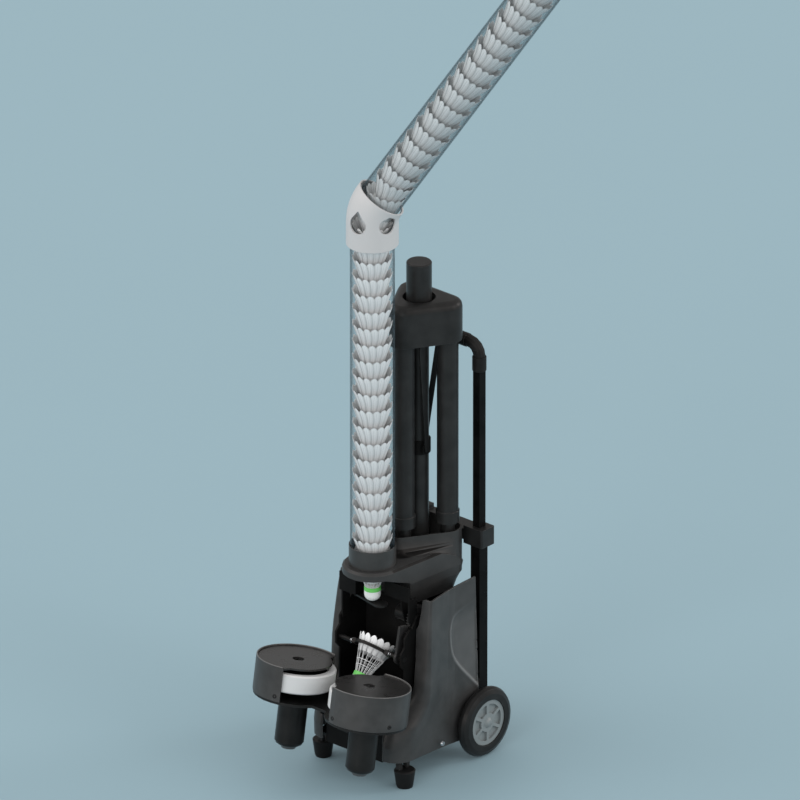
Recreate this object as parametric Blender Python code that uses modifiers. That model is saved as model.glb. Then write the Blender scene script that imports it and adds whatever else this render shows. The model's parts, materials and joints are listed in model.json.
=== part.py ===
"""A shuttlecock serving machine that stands on two front feet and two transport wheels.

A clear magazine tube feeds shuttles down into a tilting cradle, and the cradle tips each one
between two flywheels at the front. A folded tripod stows in the tower at the rear, and a
telescoping trolley handle stands behind it.

Metres, +Z up, -Y is the side that the machine serves from. Every piece is placed from the foot
of the magazine tube's axis, on the floor, and the whole machine is then moved so that the
origin is on the floor under the middle of its box.
"""
import math

import bmesh
import bpy
from mathutils import Matrix, Vector

# Clearances
SEAT_GAP = 0.0003
RUN_GAP = 0.0003

# Shuttlecock
SHUTTLE_HEIGHT = 0.085
CORK_R = 0.013
CORK_HEIGHT = 0.0275
CORK_DOME = 0.009
SKIRT_R = 0.033
SKIRT_WALL = 0.0009
NEST_PITCH = 0.028
NEST_SIDES = 12
NEST_GROOVE_Z = 0.066
FEATHERS = 16

# Magazine tubes and elbow
TUBE_R = 0.035
TUBE_WALL = 0.0011
TUBE_LENGTH = 0.590
TUBE_SIDES = 32
TUBE_FOOT_Z = 0.338
LOWER_SHUTTLES = 21
LOWEST_CORK_Z = 0.286
UPPER_SHUTTLES = 16
UPPER_FIRST = 0.002
ELBOW_Z = 0.9525
ELBOW_PLAY = 0.0032
ELBOW_WALL = 0.0028
ELBOW_BORE_R = TUBE_R + ELBOW_PLAY
ELBOW_R = ELBOW_BORE_R + ELBOW_WALL
ELBOW_LOW_RIM = 0.0565
ELBOW_TOP_RIM = 0.026
ELBOW_BEND_R = 0.065
ELBOW_TILT = math.radians(34.2)
ELBOW_TURN = math.radians(37.2)
ELBOW_SHUTTLE_TILT = math.radians(3)
UPPER_TUBE_START = 0.005
WINDOWS = 5
WINDOW_R = 0.0135
WINDOW_TOP = 0.027
WINDOW_Z = 0.9365
SOCKET_WALL = 0.0020
SOCKET_R = TUBE_R + SOCKET_WALL
SOCKET_HEIGHT = 0.032

# Top cap and the tower that holds the folded stand
DECK_Z = 0.351
FLANGE_RIM = 0.0105
FLANGE_R = SOCKET_R + FLANGE_RIM
FLANGE_BEVEL = 0.0035
CAP_CORNER_R = 0.025
CAP_CORNER_X = 0.033
CAP_CORNER_Y = 0.135
CAP_BULGE = 0.0015
CAP_TUCK = 0.014
CAP_FOOT_Z = 0.272
FLANGE_FOOT_Z = 0.338
DECK_LEVEL_Y = 0.070
DECK_REAR_Z = 0.313
TOWER_RIM_Z = 0.377
TOWER_NOSE_Y = 0.062
TOWER_NOSE_R = 0.014
TOWER_WALL = 0.003
TOWER_FLARE = 0.022
POCKET_FLOOR_Z = 0.300

# Side shells. Each station: height, half width at the front corner, front edge, corner radius
SHELL_STATIONS = (
    (0.302, 0.0950, 0.0290, 0.005),
    (0.270, 0.0978, 0.0245, 0.005),
    (0.238, 0.1000, 0.0206, 0.006),
    (0.210, 0.1016, 0.0170, 0.007),
    (0.184, 0.1026, 0.0138, 0.009),
    (0.160, 0.1026, 0.0112, 0.012),
    (0.141, 0.1020, 0.0060, 0.017),
    (0.123, 0.1010, -0.0075, 0.024),
    (0.105, 0.1000, -0.0290, 0.031),
    (0.092, 0.0985, -0.0465, 0.034),
    (0.082, 0.0980, -0.0490, 0.034),
    (0.055, 0.0970, -0.0490, 0.034),
    (0.030, 0.0960, -0.0490, 0.034),
)
SHELL_WALL = 0.003
SHELL_REAR_X = 0.0878
SHELL_TAPER_Y = 0.090
SHELL_REAR_TOP_Z = 0.304
SHELL_TOP_Y = 0.142
SHELL_MIDDLE_Y = 0.149
SHELL_LUG_Y = 0.158
SHELL_TIP_Z = 0.3015
SHELL_FOOT_FRONT_Z = 0.046
SHELL_FOOT_REAR_Z = 0.030
RETURN_TOP_X = 0.070
RETURN_MIDDLE_X = 0.0745
RETURN_FOOT_X = 0.062
NOTCH_DROP = 0.053
SIDE_STEPS = 7
CORNER_STEPS = 5
# Share of the way along the return, and share of the notch's depth there
RETURN_STEPS = ((0.35, 0.0), (0.60, 0.04), (0.68, 0.45), (0.82, 0.85), (1.0, 1.0))

# Chassis
BASE_Z = 0.047
BASE_THICK = 0.004
STAND_SOCKET_Y = 0.020
WALL_X = 0.066
WALL_THICK = 0.003
WALL_FRONT_Y = -0.002
WALL_REAR_Y = 0.1385
WALL_TOP_Z = 0.2705
WALL_SHOULDER_Z = 0.252
REAR_COVER_Y = 0.143
COVER_THICK = 0.003
FLOOR_Z = 0.112
FRONT_PANEL_Y = -0.0425

# Throwing heads
HEAD_X = 0.074
HEAD_Y = -0.090
HEAD_Z = 0.194
HEAD_PITCH = math.radians(9.5)
FLYWHEEL_R = 0.061
FLYWHEEL_PLAY = 0.0022
SHROUD_WALL = 0.0028
SHROUD_R = FLYWHEEL_R + FLYWHEEL_PLAY + SHROUD_WALL
SHROUD_HEIGHT = 0.055
SHROUD_OPEN = math.radians(140)
LID_OPEN_R = 0.0535
LID_THICK = 0.003
LID_HOLE_R = 0.0095
FLYWHEEL_RIM = 0.011
FLYWHEEL_THICK = 0.030
FLYWHEEL_TOP = 0.010
MOTOR_R = 0.0232
MOTOR_BOTTOM = 0.142
MOTOR_CAP = 0.008
SHAFT_R = 0.004
BRACKET_THICK = 0.004
NECK_X = 0.030

# Cradle that tips the shuttle, and the gear that turns it
CRADLE_Y = -0.002
CRADLE_Z = 0.2055
CRADLE_LEAN = math.radians(41)
CRADLE_OFFSET = 0.008
CRADLE_RING_LOW = 0.0660
CRADLE_RING_HIGH = 0.0710
CRADLE_BAND = 0.0035
CRADLE_PLAY = 0.0009
CRADLE_EAR_X = 0.037
PIN_R = 0.004
GEAR_MODULE = 0.0015
GEAR_TEETH = 24
SECTOR_TEETH = 68
SECTOR_CUT_TEETH = 17
GEAR_PRESSURE = math.radians(20)
GEAR_BACKLASH = 0.0005
GEAR_DIRECTION = math.radians(55)
GEAR_X = 0.0540
GEAR_THICK = 0.004
FEED_SHAFT_R = 0.003
FEED_MOTOR_R = 0.013
FEED_MOTOR_LENGTH = 0.024
MOTOR_PLATE_X = 0.0475
MOTOR_PLATE_THICK = 0.002

# Gate under the lowest shuttle
GATE_THICK = 0.003
GATE_PIN_X = -0.040
GATE_PIN_Y = 0.007
GATE_TIP_X = 0.017
GATE_TIP_R = 0.0115
GATE_PIN_R = 0.003

# Wheels and feet
AXLE_Y = 0.149
AXLE_Z = 0.057
AXLE_R = 0.005
AXLE_COVER = 0.003
WHEEL_R = 0.057
WHEEL_WIDTH = 0.020
WHEEL_FACE_X = 0.110
HUB_R = 0.0375
HUB_POCKETS = 6
FOOT_X = 0.085
FOOT_Y = -0.020
FOOT_TOP_R = 0.017
FOOT_BASE_R = 0.0135
FOOT_HEIGHT = 0.030
STEM_R = 0.004

# Trolley handle
HANDLE_X = 0.0635
HANDLE_Y = 0.178
OUTER_TUBE = 0.0186
INNER_TUBE = 0.0140
OUTER_TOP_Z = 0.3415
OUTER_FOOT_Z = 0.074
INNER_FOOT_Z = 0.296
CLAMP_X = 0.038
CLAMP_Y = 0.031
CLAMP_HEIGHT = 0.030
CORNER_FOOT_Z = 0.640
GRIP_Z = 0.682
GRIP_R = 0.011
CORNER_BEND_R = 0.020
CORNER_R = 0.0098
LOW_MOUNT_Z = 0.100

# Folded stand
MAST_Y = 0.1086
MAST_R = 0.0155
MAST_TIP_R = 0.020
MAST_TOP_Z = 0.828
HEAD_NOSE_Y = 0.073
HEAD_REAR_X = 0.037
HEAD_REAR_Y = 0.134
STAND_HEAD_R = 0.023
STAND_HEAD_Z = 0.700
STAND_HEAD_TOP_Z = 0.768
STAND_HEAD_ROUND = 0.012
STAND_HOLE_R = 0.026
STAND_HOLE_DEPTH = 0.020
LEG_R = 0.0170
LEG_INNER_R = 0.0115
LEG_SLEEVE_Z = 0.388
COLLAR_R = 0.0188
COLLAR_HEIGHT = 0.020
LEG_FOOT_Z = 0.3003
SLIDER_Z = 0.505
SLIDER_HEIGHT = 0.022

# Battery
BATTERY = (0.076, 0.056, 0.056)
BATTERY_Y = 0.098


def clear_scene():
    """Takes every object out of the open scene."""
    for obj in list(bpy.data.objects):
        bpy.data.objects.remove(obj, do_unlink=True)


def collection(name):
    """Makes a collection under the scene's own."""
    group = bpy.data.collections.new(name)
    bpy.context.scene.collection.children.link(group)
    return group


clear_scene()
PARTS = collection("shuttlecock_machine")
CUTTERS = collection("cutters")


def empty(name, parent=None, matrix=None):
    """Makes an empty that carries pieces at a joint or a tilted face."""
    obj = bpy.data.objects.new(name, None)
    PARTS.objects.link(obj)
    obj.empty_display_size = 0.02
    obj.parent = parent
    obj.matrix_local = matrix or Matrix()
    return obj


def material(name, color, roughness, metallic=0.0, alpha=1.0):
    """Makes a Principled material with the piece's own colour and finish."""
    mat = bpy.data.materials.new(name)
    mat.use_nodes = True
    shader = mat.node_tree.nodes["Principled BSDF"]
    shader.inputs["Base Color"].default_value = (*color, 1.0)
    shader.inputs["Roughness"].default_value = roughness
    shader.inputs["Metallic"].default_value = metallic
    shader.inputs["Alpha"].default_value = alpha
    mat.diffuse_color = (*color, alpha)
    return mat


def shell_black(name):
    """Satin moulded plastic of the big dark shells."""
    return material(name, (0.050, 0.050, 0.053), 0.42)


def inner_black(name):
    """Matt black of the chassis and mechanism plates."""
    return material(name, (0.012, 0.012, 0.013), 0.60)


def coated_metal(name):
    """Black powder-coated tube and bar."""
    return material(name, (0.020, 0.020, 0.022), 0.38, 0.2)


def rubber(name):
    """Tyres and feet."""
    return material(name, (0.014, 0.016, 0.017), 0.75)


def bright_metal(name):
    """Ground steel of shafts, pins and the axle."""
    return material(name, (0.55, 0.56, 0.58), 0.30, 1.0)


def white_plastic(name):
    """Off-white moulded plastic."""
    return material(name, (0.72, 0.73, 0.74), 0.45)


def clear_plastic(name):
    """Clear tube wall."""
    return material(name, (0.85, 0.89, 0.90), 0.12, 0.0, 0.25)


def feather_white(name):
    """Shuttle skirts and corks."""
    return material(name, (0.86, 0.87, 0.87), 0.65)


def place(name, mesh, mat, parent, matrix=None):
    """Links a finished mesh as a named sub-part on its parent empty."""
    obj = bpy.data.objects.new(name, mesh)
    PARTS.objects.link(obj)
    obj.parent = parent
    obj.matrix_local = matrix or Matrix()
    mesh.materials.append(mat(name))
    smooth(mesh)
    return obj


def as_cutter(obj):
    """Moves an object to the cutters' collection, where it is not a part."""
    PARTS.objects.unlink(obj)
    CUTTERS.objects.link(obj)
    obj.hide_render = True
    obj.display_type = "WIRE"
    return obj


def smooth(mesh):
    """Shades round faces smooth and keeps the sharp edges."""
    mesh.shade_smooth()
    mesh.set_sharp_from_angle(angle=math.radians(32))


def boolean(obj, other, operation="DIFFERENCE"):
    """Joins or cuts an object with a cutter."""
    mod = obj.modifiers.new(operation.lower(), "BOOLEAN")
    mod.operation = operation
    mod.solver = "EXACT"
    mod.object = other
    return mod


def bevel(obj, width, segments=2, angle=35):
    """Rounds the edges of a mesh."""
    mod = obj.modifiers.new("bevel", "BEVEL")
    mod.width = width
    mod.segments = segments
    mod.limit_method = "ANGLE"
    mod.angle_limit = math.radians(angle)
    return mod


def box_mesh(low, high):
    """Makes a box between two corners."""
    bm = bmesh.new()
    bmesh.ops.create_cube(bm, size=1.0)
    for vert in bm.verts:
        for axis in range(3):
            share = vert.co[axis] + 0.5
            vert.co[axis] = low[axis] + (high[axis] - low[axis]) * share
    mesh = bpy.data.meshes.new("box")
    bm.to_mesh(mesh)
    bm.free()
    return mesh


def along(axis):
    """Turns +Z onto X, Y or Z."""
    turns = {
        "X": Matrix.Rotation(math.radians(90), 4, "Y"),
        "Y": Matrix.Rotation(math.radians(-90), 4, "X"),
        "Z": Matrix(),
    }
    return turns[axis]


def rod_mesh(radius, length, sides=24, end_radius=None, axis="Z"):
    """Makes a rod or cone that starts at the origin and runs along an axis."""
    bm = bmesh.new()
    top = radius if end_radius is None else end_radius
    bmesh.ops.create_cone(
        bm, cap_ends=True, segments=sides, radius1=radius, radius2=top, depth=length)
    bmesh.ops.translate(bm, verts=bm.verts, vec=(0, 0, length / 2))
    bmesh.ops.transform(bm, verts=bm.verts, matrix=along(axis))
    mesh = bpy.data.meshes.new("rod")
    bm.to_mesh(mesh)
    bm.free()
    return mesh


def turned(name, profile, mat, parent, matrix=None, sides=32, closed=True):
    """Turns a profile of radius and height, outer side from top to bottom, about Z."""
    bm = bmesh.new()
    verts = [bm.verts.new((radius, 0, height)) for radius, height in profile]
    for first, second in zip(verts, verts[1:]):
        bm.edges.new((first, second))
    if closed:
        bm.edges.new((verts[-1], verts[0]))
    mesh = bpy.data.meshes.new(name)
    bm.to_mesh(mesh)
    bm.free()
    obj = place(name, mesh, mat, parent, matrix)
    screw = obj.modifiers.new("screw", "SCREW")
    screw.axis = "Z"
    screw.steps = sides
    screw.render_steps = sides
    screw.use_merge_vertices = True
    screw.merge_threshold = 0.00001
    screw.use_smooth_shade = True
    return obj


def ring_profile(inner, outer, low, high):
    """Gives the closed profile of a plain ring."""
    return [(outer, high), (outer, low), (inner, low), (inner, high)]


def disc_hull(discs, points=6):
    """Gives the outline round a convex ring of discs (x, y, radius), anticlockwise."""
    normals = []
    for index, (x1, y1, r1) in enumerate(discs):
        x2, y2, r2 = discs[(index + 1) % len(discs)]
        reach = math.hypot(x2 - x1, y2 - y1)
        travel = math.atan2(y2 - y1, x2 - x1)
        normals.append(travel - math.acos((r1 - r2) / reach))
    outline = []
    for index, (x, y, radius) in enumerate(discs):
        start = normals[index - 1]
        turn = (normals[index] - start) % (2 * math.pi)
        for step in range(points):
            angle = start + turn * step / (points - 1)
            outline.append((x + radius * math.cos(angle), y + radius * math.sin(angle)))
    return outline


def circle(radius, sides=32, centre=(0.0, 0.0), phase=0.0):
    """Gives the points of a circle."""
    turn = 2 * math.pi / sides
    return [
        (centre[0] + radius * math.cos(phase + turn * i),
         centre[1] + radius * math.sin(phase + turn * i))
        for i in range(sides)
    ]


def box_outline(half_x, half_y, centre=(0.0, 0.0)):
    """Gives the corners of a rectangle."""
    x, y = centre
    return [(x - half_x, y - half_y), (x + half_x, y - half_y),
            (x + half_x, y + half_y), (x - half_x, y + half_y)]


def rounded_box(half_x, half_y, radius, points=4):
    """Gives a rectangle with round corners."""
    x = half_x - radius
    y = half_y - radius
    return disc_hull([(-x, -y, radius), (x, -y, radius), (x, y, radius), (-x, y, radius)], points)


def plate_mesh(outlines, low, high):
    """Fills flat outlines, the later ones as holes, and gives the plate its thickness."""
    curve = bpy.data.curves.new("plate", "CURVE")
    curve.dimensions = "2D"
    curve.fill_mode = "BOTH"
    curve.extrude = (high - low) / 2
    for outline in outlines:
        spline = curve.splines.new("POLY")
        spline.points.add(len(outline) - 1)
        for point, (x, y) in zip(spline.points, outline):
            point.co = (x, y, 0, 1)
        spline.use_cyclic_u = True
    guide = bpy.data.objects.new("plate", curve)
    CUTTERS.objects.link(guide)
    bpy.context.view_layer.update()
    mesh = bpy.data.meshes.new_from_object(guide.evaluated_get(bpy.context.evaluated_depsgraph_get()))
    bpy.data.objects.remove(guide, do_unlink=True)
    bm = bmesh.new()
    bm.from_mesh(mesh)
    bmesh.ops.remove_doubles(bm, verts=bm.verts, dist=0.000005)
    bmesh.ops.translate(bm, verts=bm.verts, vec=(0, 0, (low + high) / 2))
    bm.to_mesh(mesh)
    bm.free()
    return mesh


def plate(name, outlines, low, high, mat, parent, matrix=None):
    """Makes a flat plate in its own XY plane."""
    return place(name, plate_mesh(outlines, low, high), mat, parent, matrix)


# Turns a plate drawn in Y and Z so that it stands square to X
STAND_X = Matrix(((0, 0, 1, 0), (1, 0, 0, 0), (0, 1, 0, 0), (0, 0, 0, 1)))
# Turns a plate drawn in X and Z so that it stands square to Y
STAND_Y = Matrix(((1, 0, 0, 0), (0, 0, -1, 0), (0, 1, 0, 0), (0, 0, 0, 1)))


def sweep_mesh(points, radius, sides):
    """Makes a solid round bar along points, with its caps welded."""
    curve = bpy.data.curves.new("sweep", "CURVE")
    curve.dimensions = "3D"
    curve.bevel_depth = radius
    curve.bevel_resolution = (sides - 4) // 2
    curve.use_fill_caps = True
    spline = curve.splines.new("POLY")
    spline.points.add(len(points) - 1)
    for point, place_at in zip(spline.points, points):
        point.co = (*place_at, 1)
    guide = bpy.data.objects.new("sweep", curve)
    CUTTERS.objects.link(guide)
    bpy.context.view_layer.update()
    mesh = bpy.data.meshes.new_from_object(guide.evaluated_get(bpy.context.evaluated_depsgraph_get()))
    bpy.data.objects.remove(guide, do_unlink=True)
    bm = bmesh.new()
    bm.from_mesh(mesh)
    bmesh.ops.remove_doubles(bm, verts=bm.verts, dist=0.00001)
    bm.to_mesh(mesh)
    bm.free()
    return mesh


def loft_mesh(sections):
    """Bridges sections of equal point counts into one closed body."""
    bm = bmesh.new()
    rows = [[bm.verts.new(point) for point in section] for section in sections]
    count = len(rows[0])
    for low, high in zip(rows, rows[1:]):
        for i in range(count):
            j = (i + 1) % count
            bm.faces.new((low[i], low[j], high[j], high[i]))
    bm.faces.new(list(reversed(rows[0])))
    bm.faces.new(rows[-1])
    bmesh.ops.recalc_face_normals(bm, faces=bm.faces)
    mesh = bpy.data.meshes.new("loft")
    bm.to_mesh(mesh)
    bm.free()
    return mesh


def raised(outline, height):
    """Lifts a flat outline to a height."""
    return [(x, y, height) for x, y in outline]


def cut_hole(obj, mesh, parent, matrix=None, operation="DIFFERENCE"):
    """Cuts a mesh out of an object, or joins it on."""
    tool = as_cutter(place("cut_" + obj.name, mesh, bright_metal, parent, matrix))
    return boolean(obj, tool, operation)


def lean_matrix(angle, origin):
    """Gives a frame whose Z leans back by an angle about X."""
    return Matrix.Translation(origin) @ Matrix.Rotation(-angle, 4, "X")


MACHINE = empty("machine")


def skirt_radius(height):
    """Gives the skirt's outer radius at a height over the cork's lowest point."""
    share = (height - CORK_HEIGHT) / (SHUTTLE_HEIGHT - CORK_HEIGHT)
    return CORK_R + (SKIRT_R - CORK_R) * share


def shuttle_stack(name, count, parent, matrix):
    """Turns a stack of nested shuttles, with a groove left between each skirt and the next."""
    inside = skirt_radius(NEST_GROOVE_Z) - SKIRT_WALL
    next_skirt = skirt_radius(NEST_GROOVE_Z - NEST_PITCH)
    profile = [(0.0, 0.0), (CORK_R, CORK_DOME), (CORK_R, CORK_HEIGHT), (SKIRT_R, SHUTTLE_HEIGHT)]
    for index in range(count - 1):
        lift = NEST_PITCH * index
        profile += [(SKIRT_R - SKIRT_WALL, SHUTTLE_HEIGHT + lift), (inside, NEST_GROOVE_Z + lift),
                    (next_skirt, NEST_GROOVE_Z + lift), (SKIRT_R, SHUTTLE_HEIGHT + NEST_PITCH + lift)]
    lift = NEST_PITCH * (count - 1)
    profile += [(SKIRT_R - SKIRT_WALL, SHUTTLE_HEIGHT + lift), (CORK_R - SKIRT_WALL, CORK_HEIGHT + lift),
                (0.0, CORK_HEIGHT + lift)]
    profile.reverse()
    return turned(name, profile, feather_white, parent, matrix, NEST_SIDES, closed=False)


def feathered_shuttle(name, parent, matrix):
    """Makes one shuttle whose skirt has a tip for each feather, lofted from cork to rim."""
    sides = FEATHERS * 2
    tip_drop = 0.006
    fold = 0.0012

    def ring(radius, height, ripple=0.0, drop=0.0):
        points = []
        for i in range(sides):
            angle = 2 * math.pi * i / sides
            valley = i % 2
            reach = radius - ripple * valley
            points.append((reach * math.cos(angle), reach * math.sin(angle), height - drop * valley))
        return points

    sections = [
        ring(CORK_R * 0.60, 0.0),
        ring(CORK_R, CORK_DOME),
        ring(CORK_R, CORK_HEIGHT),
        ring(SKIRT_R, SHUTTLE_HEIGHT, fold, tip_drop),
        ring(SKIRT_R - SKIRT_WALL, SHUTTLE_HEIGHT, fold, tip_drop),
        ring(CORK_R - SKIRT_WALL, CORK_HEIGHT),
    ]
    return place(name, loft_mesh(sections), feather_white, parent, matrix)


def build_magazine():
    """Makes the fixed lower tube, its socket, and the elbow and upper tube that turn on it."""
    tube_top = TUBE_FOOT_Z + TUBE_LENGTH
    turned("tube_socket",
           ring_profile(TUBE_R + SEAT_GAP, SOCKET_R, DECK_Z + SEAT_GAP, DECK_Z + SOCKET_HEIGHT),
           shell_black, MACHINE, sides=TUBE_SIDES)
    turned("lower_tube", ring_profile(TUBE_R - TUBE_WALL, TUBE_R, TUBE_FOOT_Z, tube_top),
           clear_plastic, MACHINE, sides=TUBE_SIDES)
    shuttle_stack("lower_shuttle_stack", LOWER_SHUTTLES, MACHINE,
                  Matrix.Translation((0, 0, LOWEST_CORK_Z)))

    swivel = empty("magazine_swivel_axis", MACHINE,
                   Matrix.Translation((0, 0, ELBOW_Z)) @ Matrix.Rotation(ELBOW_TURN, 4, "Z"))
    incline = empty("upper_tube_axis", swivel, Matrix.Rotation(ELBOW_TILT, 4, "Y"))
    build_elbow(swivel, tube_top)
    tube_end = UPPER_TUBE_START + TUBE_LENGTH
    turned("upper_tube", ring_profile(TUBE_R - TUBE_WALL, TUBE_R, UPPER_TUBE_START, tube_end),
           clear_plastic, incline, sides=TUBE_SIDES)
    shuttle_stack("upper_shuttle_stack", UPPER_SHUTTLES, incline,
                  Matrix.Translation((0, 0, UPPER_FIRST)))
    top_of_stack = LOWEST_CORK_Z + LOWER_SHUTTLES * NEST_PITCH + SEAT_GAP
    base = Matrix.Translation((0, 0, top_of_stack - ELBOW_Z))
    feathered_shuttle("elbow_shuttle", swivel, base @ Matrix.Rotation(ELBOW_SHUTTLE_TILT, 4, "Y"))


def elbow_path(low, high):
    """Gives the elbow's centre line from below the bend to above it, in the swivel's frame."""
    reach = ELBOW_BEND_R * math.tan(ELBOW_TILT / 2)
    centre = Vector((ELBOW_BEND_R, 0, -reach))
    steps = 5
    path = [Vector((0, 0, -low))]
    for step in range(steps + 1):
        angle = ELBOW_TILT * step / steps
        path.append(centre + ELBOW_BEND_R * Vector((-math.cos(angle), 0, math.sin(angle))))
    path.append(high * Vector((math.sin(ELBOW_TILT), 0, math.cos(ELBOW_TILT))))
    return path


def build_elbow(swivel, tube_top):
    """Makes the bent white collar with its socket bores and drop-shaped windows."""
    obj = place("elbow", sweep_mesh(elbow_path(ELBOW_LOW_RIM, ELBOW_TOP_RIM), ELBOW_R, TUBE_SIDES),
                white_plastic, swivel)
    bend_low = ELBOW_Z - tube_top - SEAT_GAP
    bend_high = UPPER_TUBE_START - SEAT_GAP
    throat = []
    for share in (0.0, 0.5, 1.0):
        turn = Matrix.Rotation(ELBOW_TILT * share, 3, "Y")
        middle = turn @ Vector((0, 0, bend_high * share - bend_low * (1 - share)))
        widen = 1.0 - 0.02 * abs(share - 0.5)
        throat.append([middle + turn @ Vector((x * widen, y * widen, 0))
                       for x, y in circle(ELBOW_BORE_R, TUBE_SIDES)])
    cut_hole(obj, loft_mesh(throat), swivel)
    socket = TUBE_R + RUN_GAP
    margin = 0.010
    lap = 0.002
    cut_hole(obj, rod_mesh(socket, ELBOW_LOW_RIM - bend_low + margin + lap, TUBE_SIDES), swivel,
             Matrix.Translation((0, 0, -ELBOW_LOW_RIM - margin)))
    cut_hole(obj, rod_mesh(socket, ELBOW_TOP_RIM - bend_high + margin, TUBE_SIDES), swivel,
             Matrix.Rotation(ELBOW_TILT, 4, "Y") @ Matrix.Translation((0, 0, bend_high - lap)))
    first = math.radians(-12) - ELBOW_TURN
    for index in range(WINDOWS):
        angle = first + 2 * math.pi * index / WINDOWS
        bend_side = max(0.0, math.cos(angle))
        top = WINDOW_TOP - 0.013 * bend_side
        outline = [(WINDOW_R * math.cos(a), WINDOW_R * math.sin(a))
                   for a in (math.radians(160 + 220 * i / 8) for i in range(9))]
        outline.append((0.0, top))
        turn = Matrix.Rotation(angle + math.pi / 2, 4, "Z")
        level = Matrix.Translation((0, 0, WINDOW_Z - ELBOW_Z))
        face = Matrix.Rotation(math.radians(90), 4, "X")
        cut_hole(obj, plate_mesh([outline], -ELBOW_R * 1.3, -ELBOW_R * 0.5), swivel,
                 turn @ level @ Matrix.Rotation(math.pi, 4, "Z") @ face)


def cap_outline(offset=0.0, points=10):
    """Gives the cap's plan, round the tube at the front and square-shouldered at the rear."""
    corner = CAP_CORNER_R + offset
    return disc_hull([(0.0, 0.0, FLANGE_R + offset),
                      (CAP_CORNER_X, CAP_CORNER_Y, corner),
                      (-CAP_CORNER_X, CAP_CORNER_Y, corner)], points)


def tower_outline(offset=0.0, rear=0.0, points=8):
    """Gives the tower's plan, a wedge with a narrow nose behind the tube."""
    corner = CAP_CORNER_R + rear
    return disc_hull([(0.0, TOWER_NOSE_Y, TOWER_NOSE_R + offset),
                      (CAP_CORNER_X, CAP_CORNER_Y, corner),
                      (-CAP_CORNER_X, CAP_CORNER_Y, corner)], points)


def build_top_cap():
    """Makes the moulded cap: flange round the tube, falling deck, tower and tucked skirt."""
    sections = [
        raised(cap_outline(-CAP_TUCK), CAP_FOOT_Z - 0.001),
        raised(cap_outline(-CAP_TUCK * 0.60), 0.288),
        raised(cap_outline(-CAP_TUCK * 0.12), 0.302),
        raised(cap_outline(CAP_BULGE), 0.318),
        raised(cap_outline(), DECK_Z - FLANGE_BEVEL),
        raised(cap_outline(-FLANGE_BEVEL), DECK_Z),
    ]
    cap = place("top_cap", loft_mesh(sections), shell_black, MACHINE)

    rear = CAP_CORNER_Y + CAP_CORNER_R + 0.02
    front = -FLANGE_R - 0.02
    fall_steps = 6
    side = [(front, FLANGE_FOOT_Z), (-0.018, FLANGE_FOOT_Z), (0.031, 0.320), (0.0335, 0.298),
            (0.040, 0.285), (0.050, 0.276), (0.064, CAP_FOOT_Z), (rear, CAP_FOOT_Z)]
    span = rear - 0.02 - DECK_LEVEL_Y
    fall = DECK_Z + 0.001 - DECK_REAR_Z
    side.append((rear, DECK_REAR_Z - 0.018))
    for step in range(fall_steps + 1):
        share = 1 - step / fall_steps
        side.append((DECK_LEVEL_Y + span * share, DECK_Z + 0.001 - fall * share ** 2))
    side.append((front, DECK_Z + 0.001))
    cut_hole(cap, plate_mesh([side], -0.09, 0.09), MACHINE, STAND_X, "INTERSECT")

    flare = []
    levels = 6
    for level in range(levels + 1):
        share = level / levels
        height = TOWER_RIM_Z - (TOWER_RIM_Z - DECK_Z) * share
        flare.append(raised(tower_outline(TOWER_FLARE * (1 - math.sqrt(1 - share ** 2)) * 0.9,
                                          -0.0002), height))
    flare.append(raised(tower_outline(TOWER_FLARE * 0.9, -0.0002), DECK_REAR_Z - 0.010))
    flare.reverse()
    cut_hole(cap, loft_mesh(flare), MACHINE, None, "UNION")

    seat = SOCKET_R + SEAT_GAP
    cut_hole(cap, rod_mesh(seat, 0.06, TUBE_SIDES), MACHINE, Matrix.Translation((0, 0, DECK_Z)))
    cut_hole(cap, rod_mesh(TUBE_R + SEAT_GAP, 0.08, TUBE_SIDES), MACHINE,
             Matrix.Translation((0, 0, DECK_Z - 0.06)))
    pocket = disc_hull([(0.0, TOWER_NOSE_Y, TOWER_NOSE_R - TOWER_WALL),
                        (CAP_CORNER_X, CAP_CORNER_Y, CAP_CORNER_R - TOWER_WALL),
                        (-CAP_CORNER_X, CAP_CORNER_Y, CAP_CORNER_R - TOWER_WALL)], 8)
    cut_hole(cap, plate_mesh([pocket], POCKET_FLOOR_Z, TOWER_RIM_Z + 0.02), MACHINE)
    return cap


def shell_station(height):
    """Gives the half width, front edge and corner radius at a height, between two stations."""
    for high, low in zip(SHELL_STATIONS, SHELL_STATIONS[1:]):
        if height >= low[0]:
            share = min(1.0, (height - low[0]) / (high[0] - low[0]))
            return [a + (b - a) * share for a, b in zip(low[1:], high[1:])]
    return list(SHELL_STATIONS[-1][1:])


def between(height, low, high):
    """Gives how far a height is from a low one to a high one, from 0 to 1, eased at both ends."""
    share = max(0.0, min(1.0, (height - low) / (high - low)))
    return share * share * (3 - 2 * share)


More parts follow.
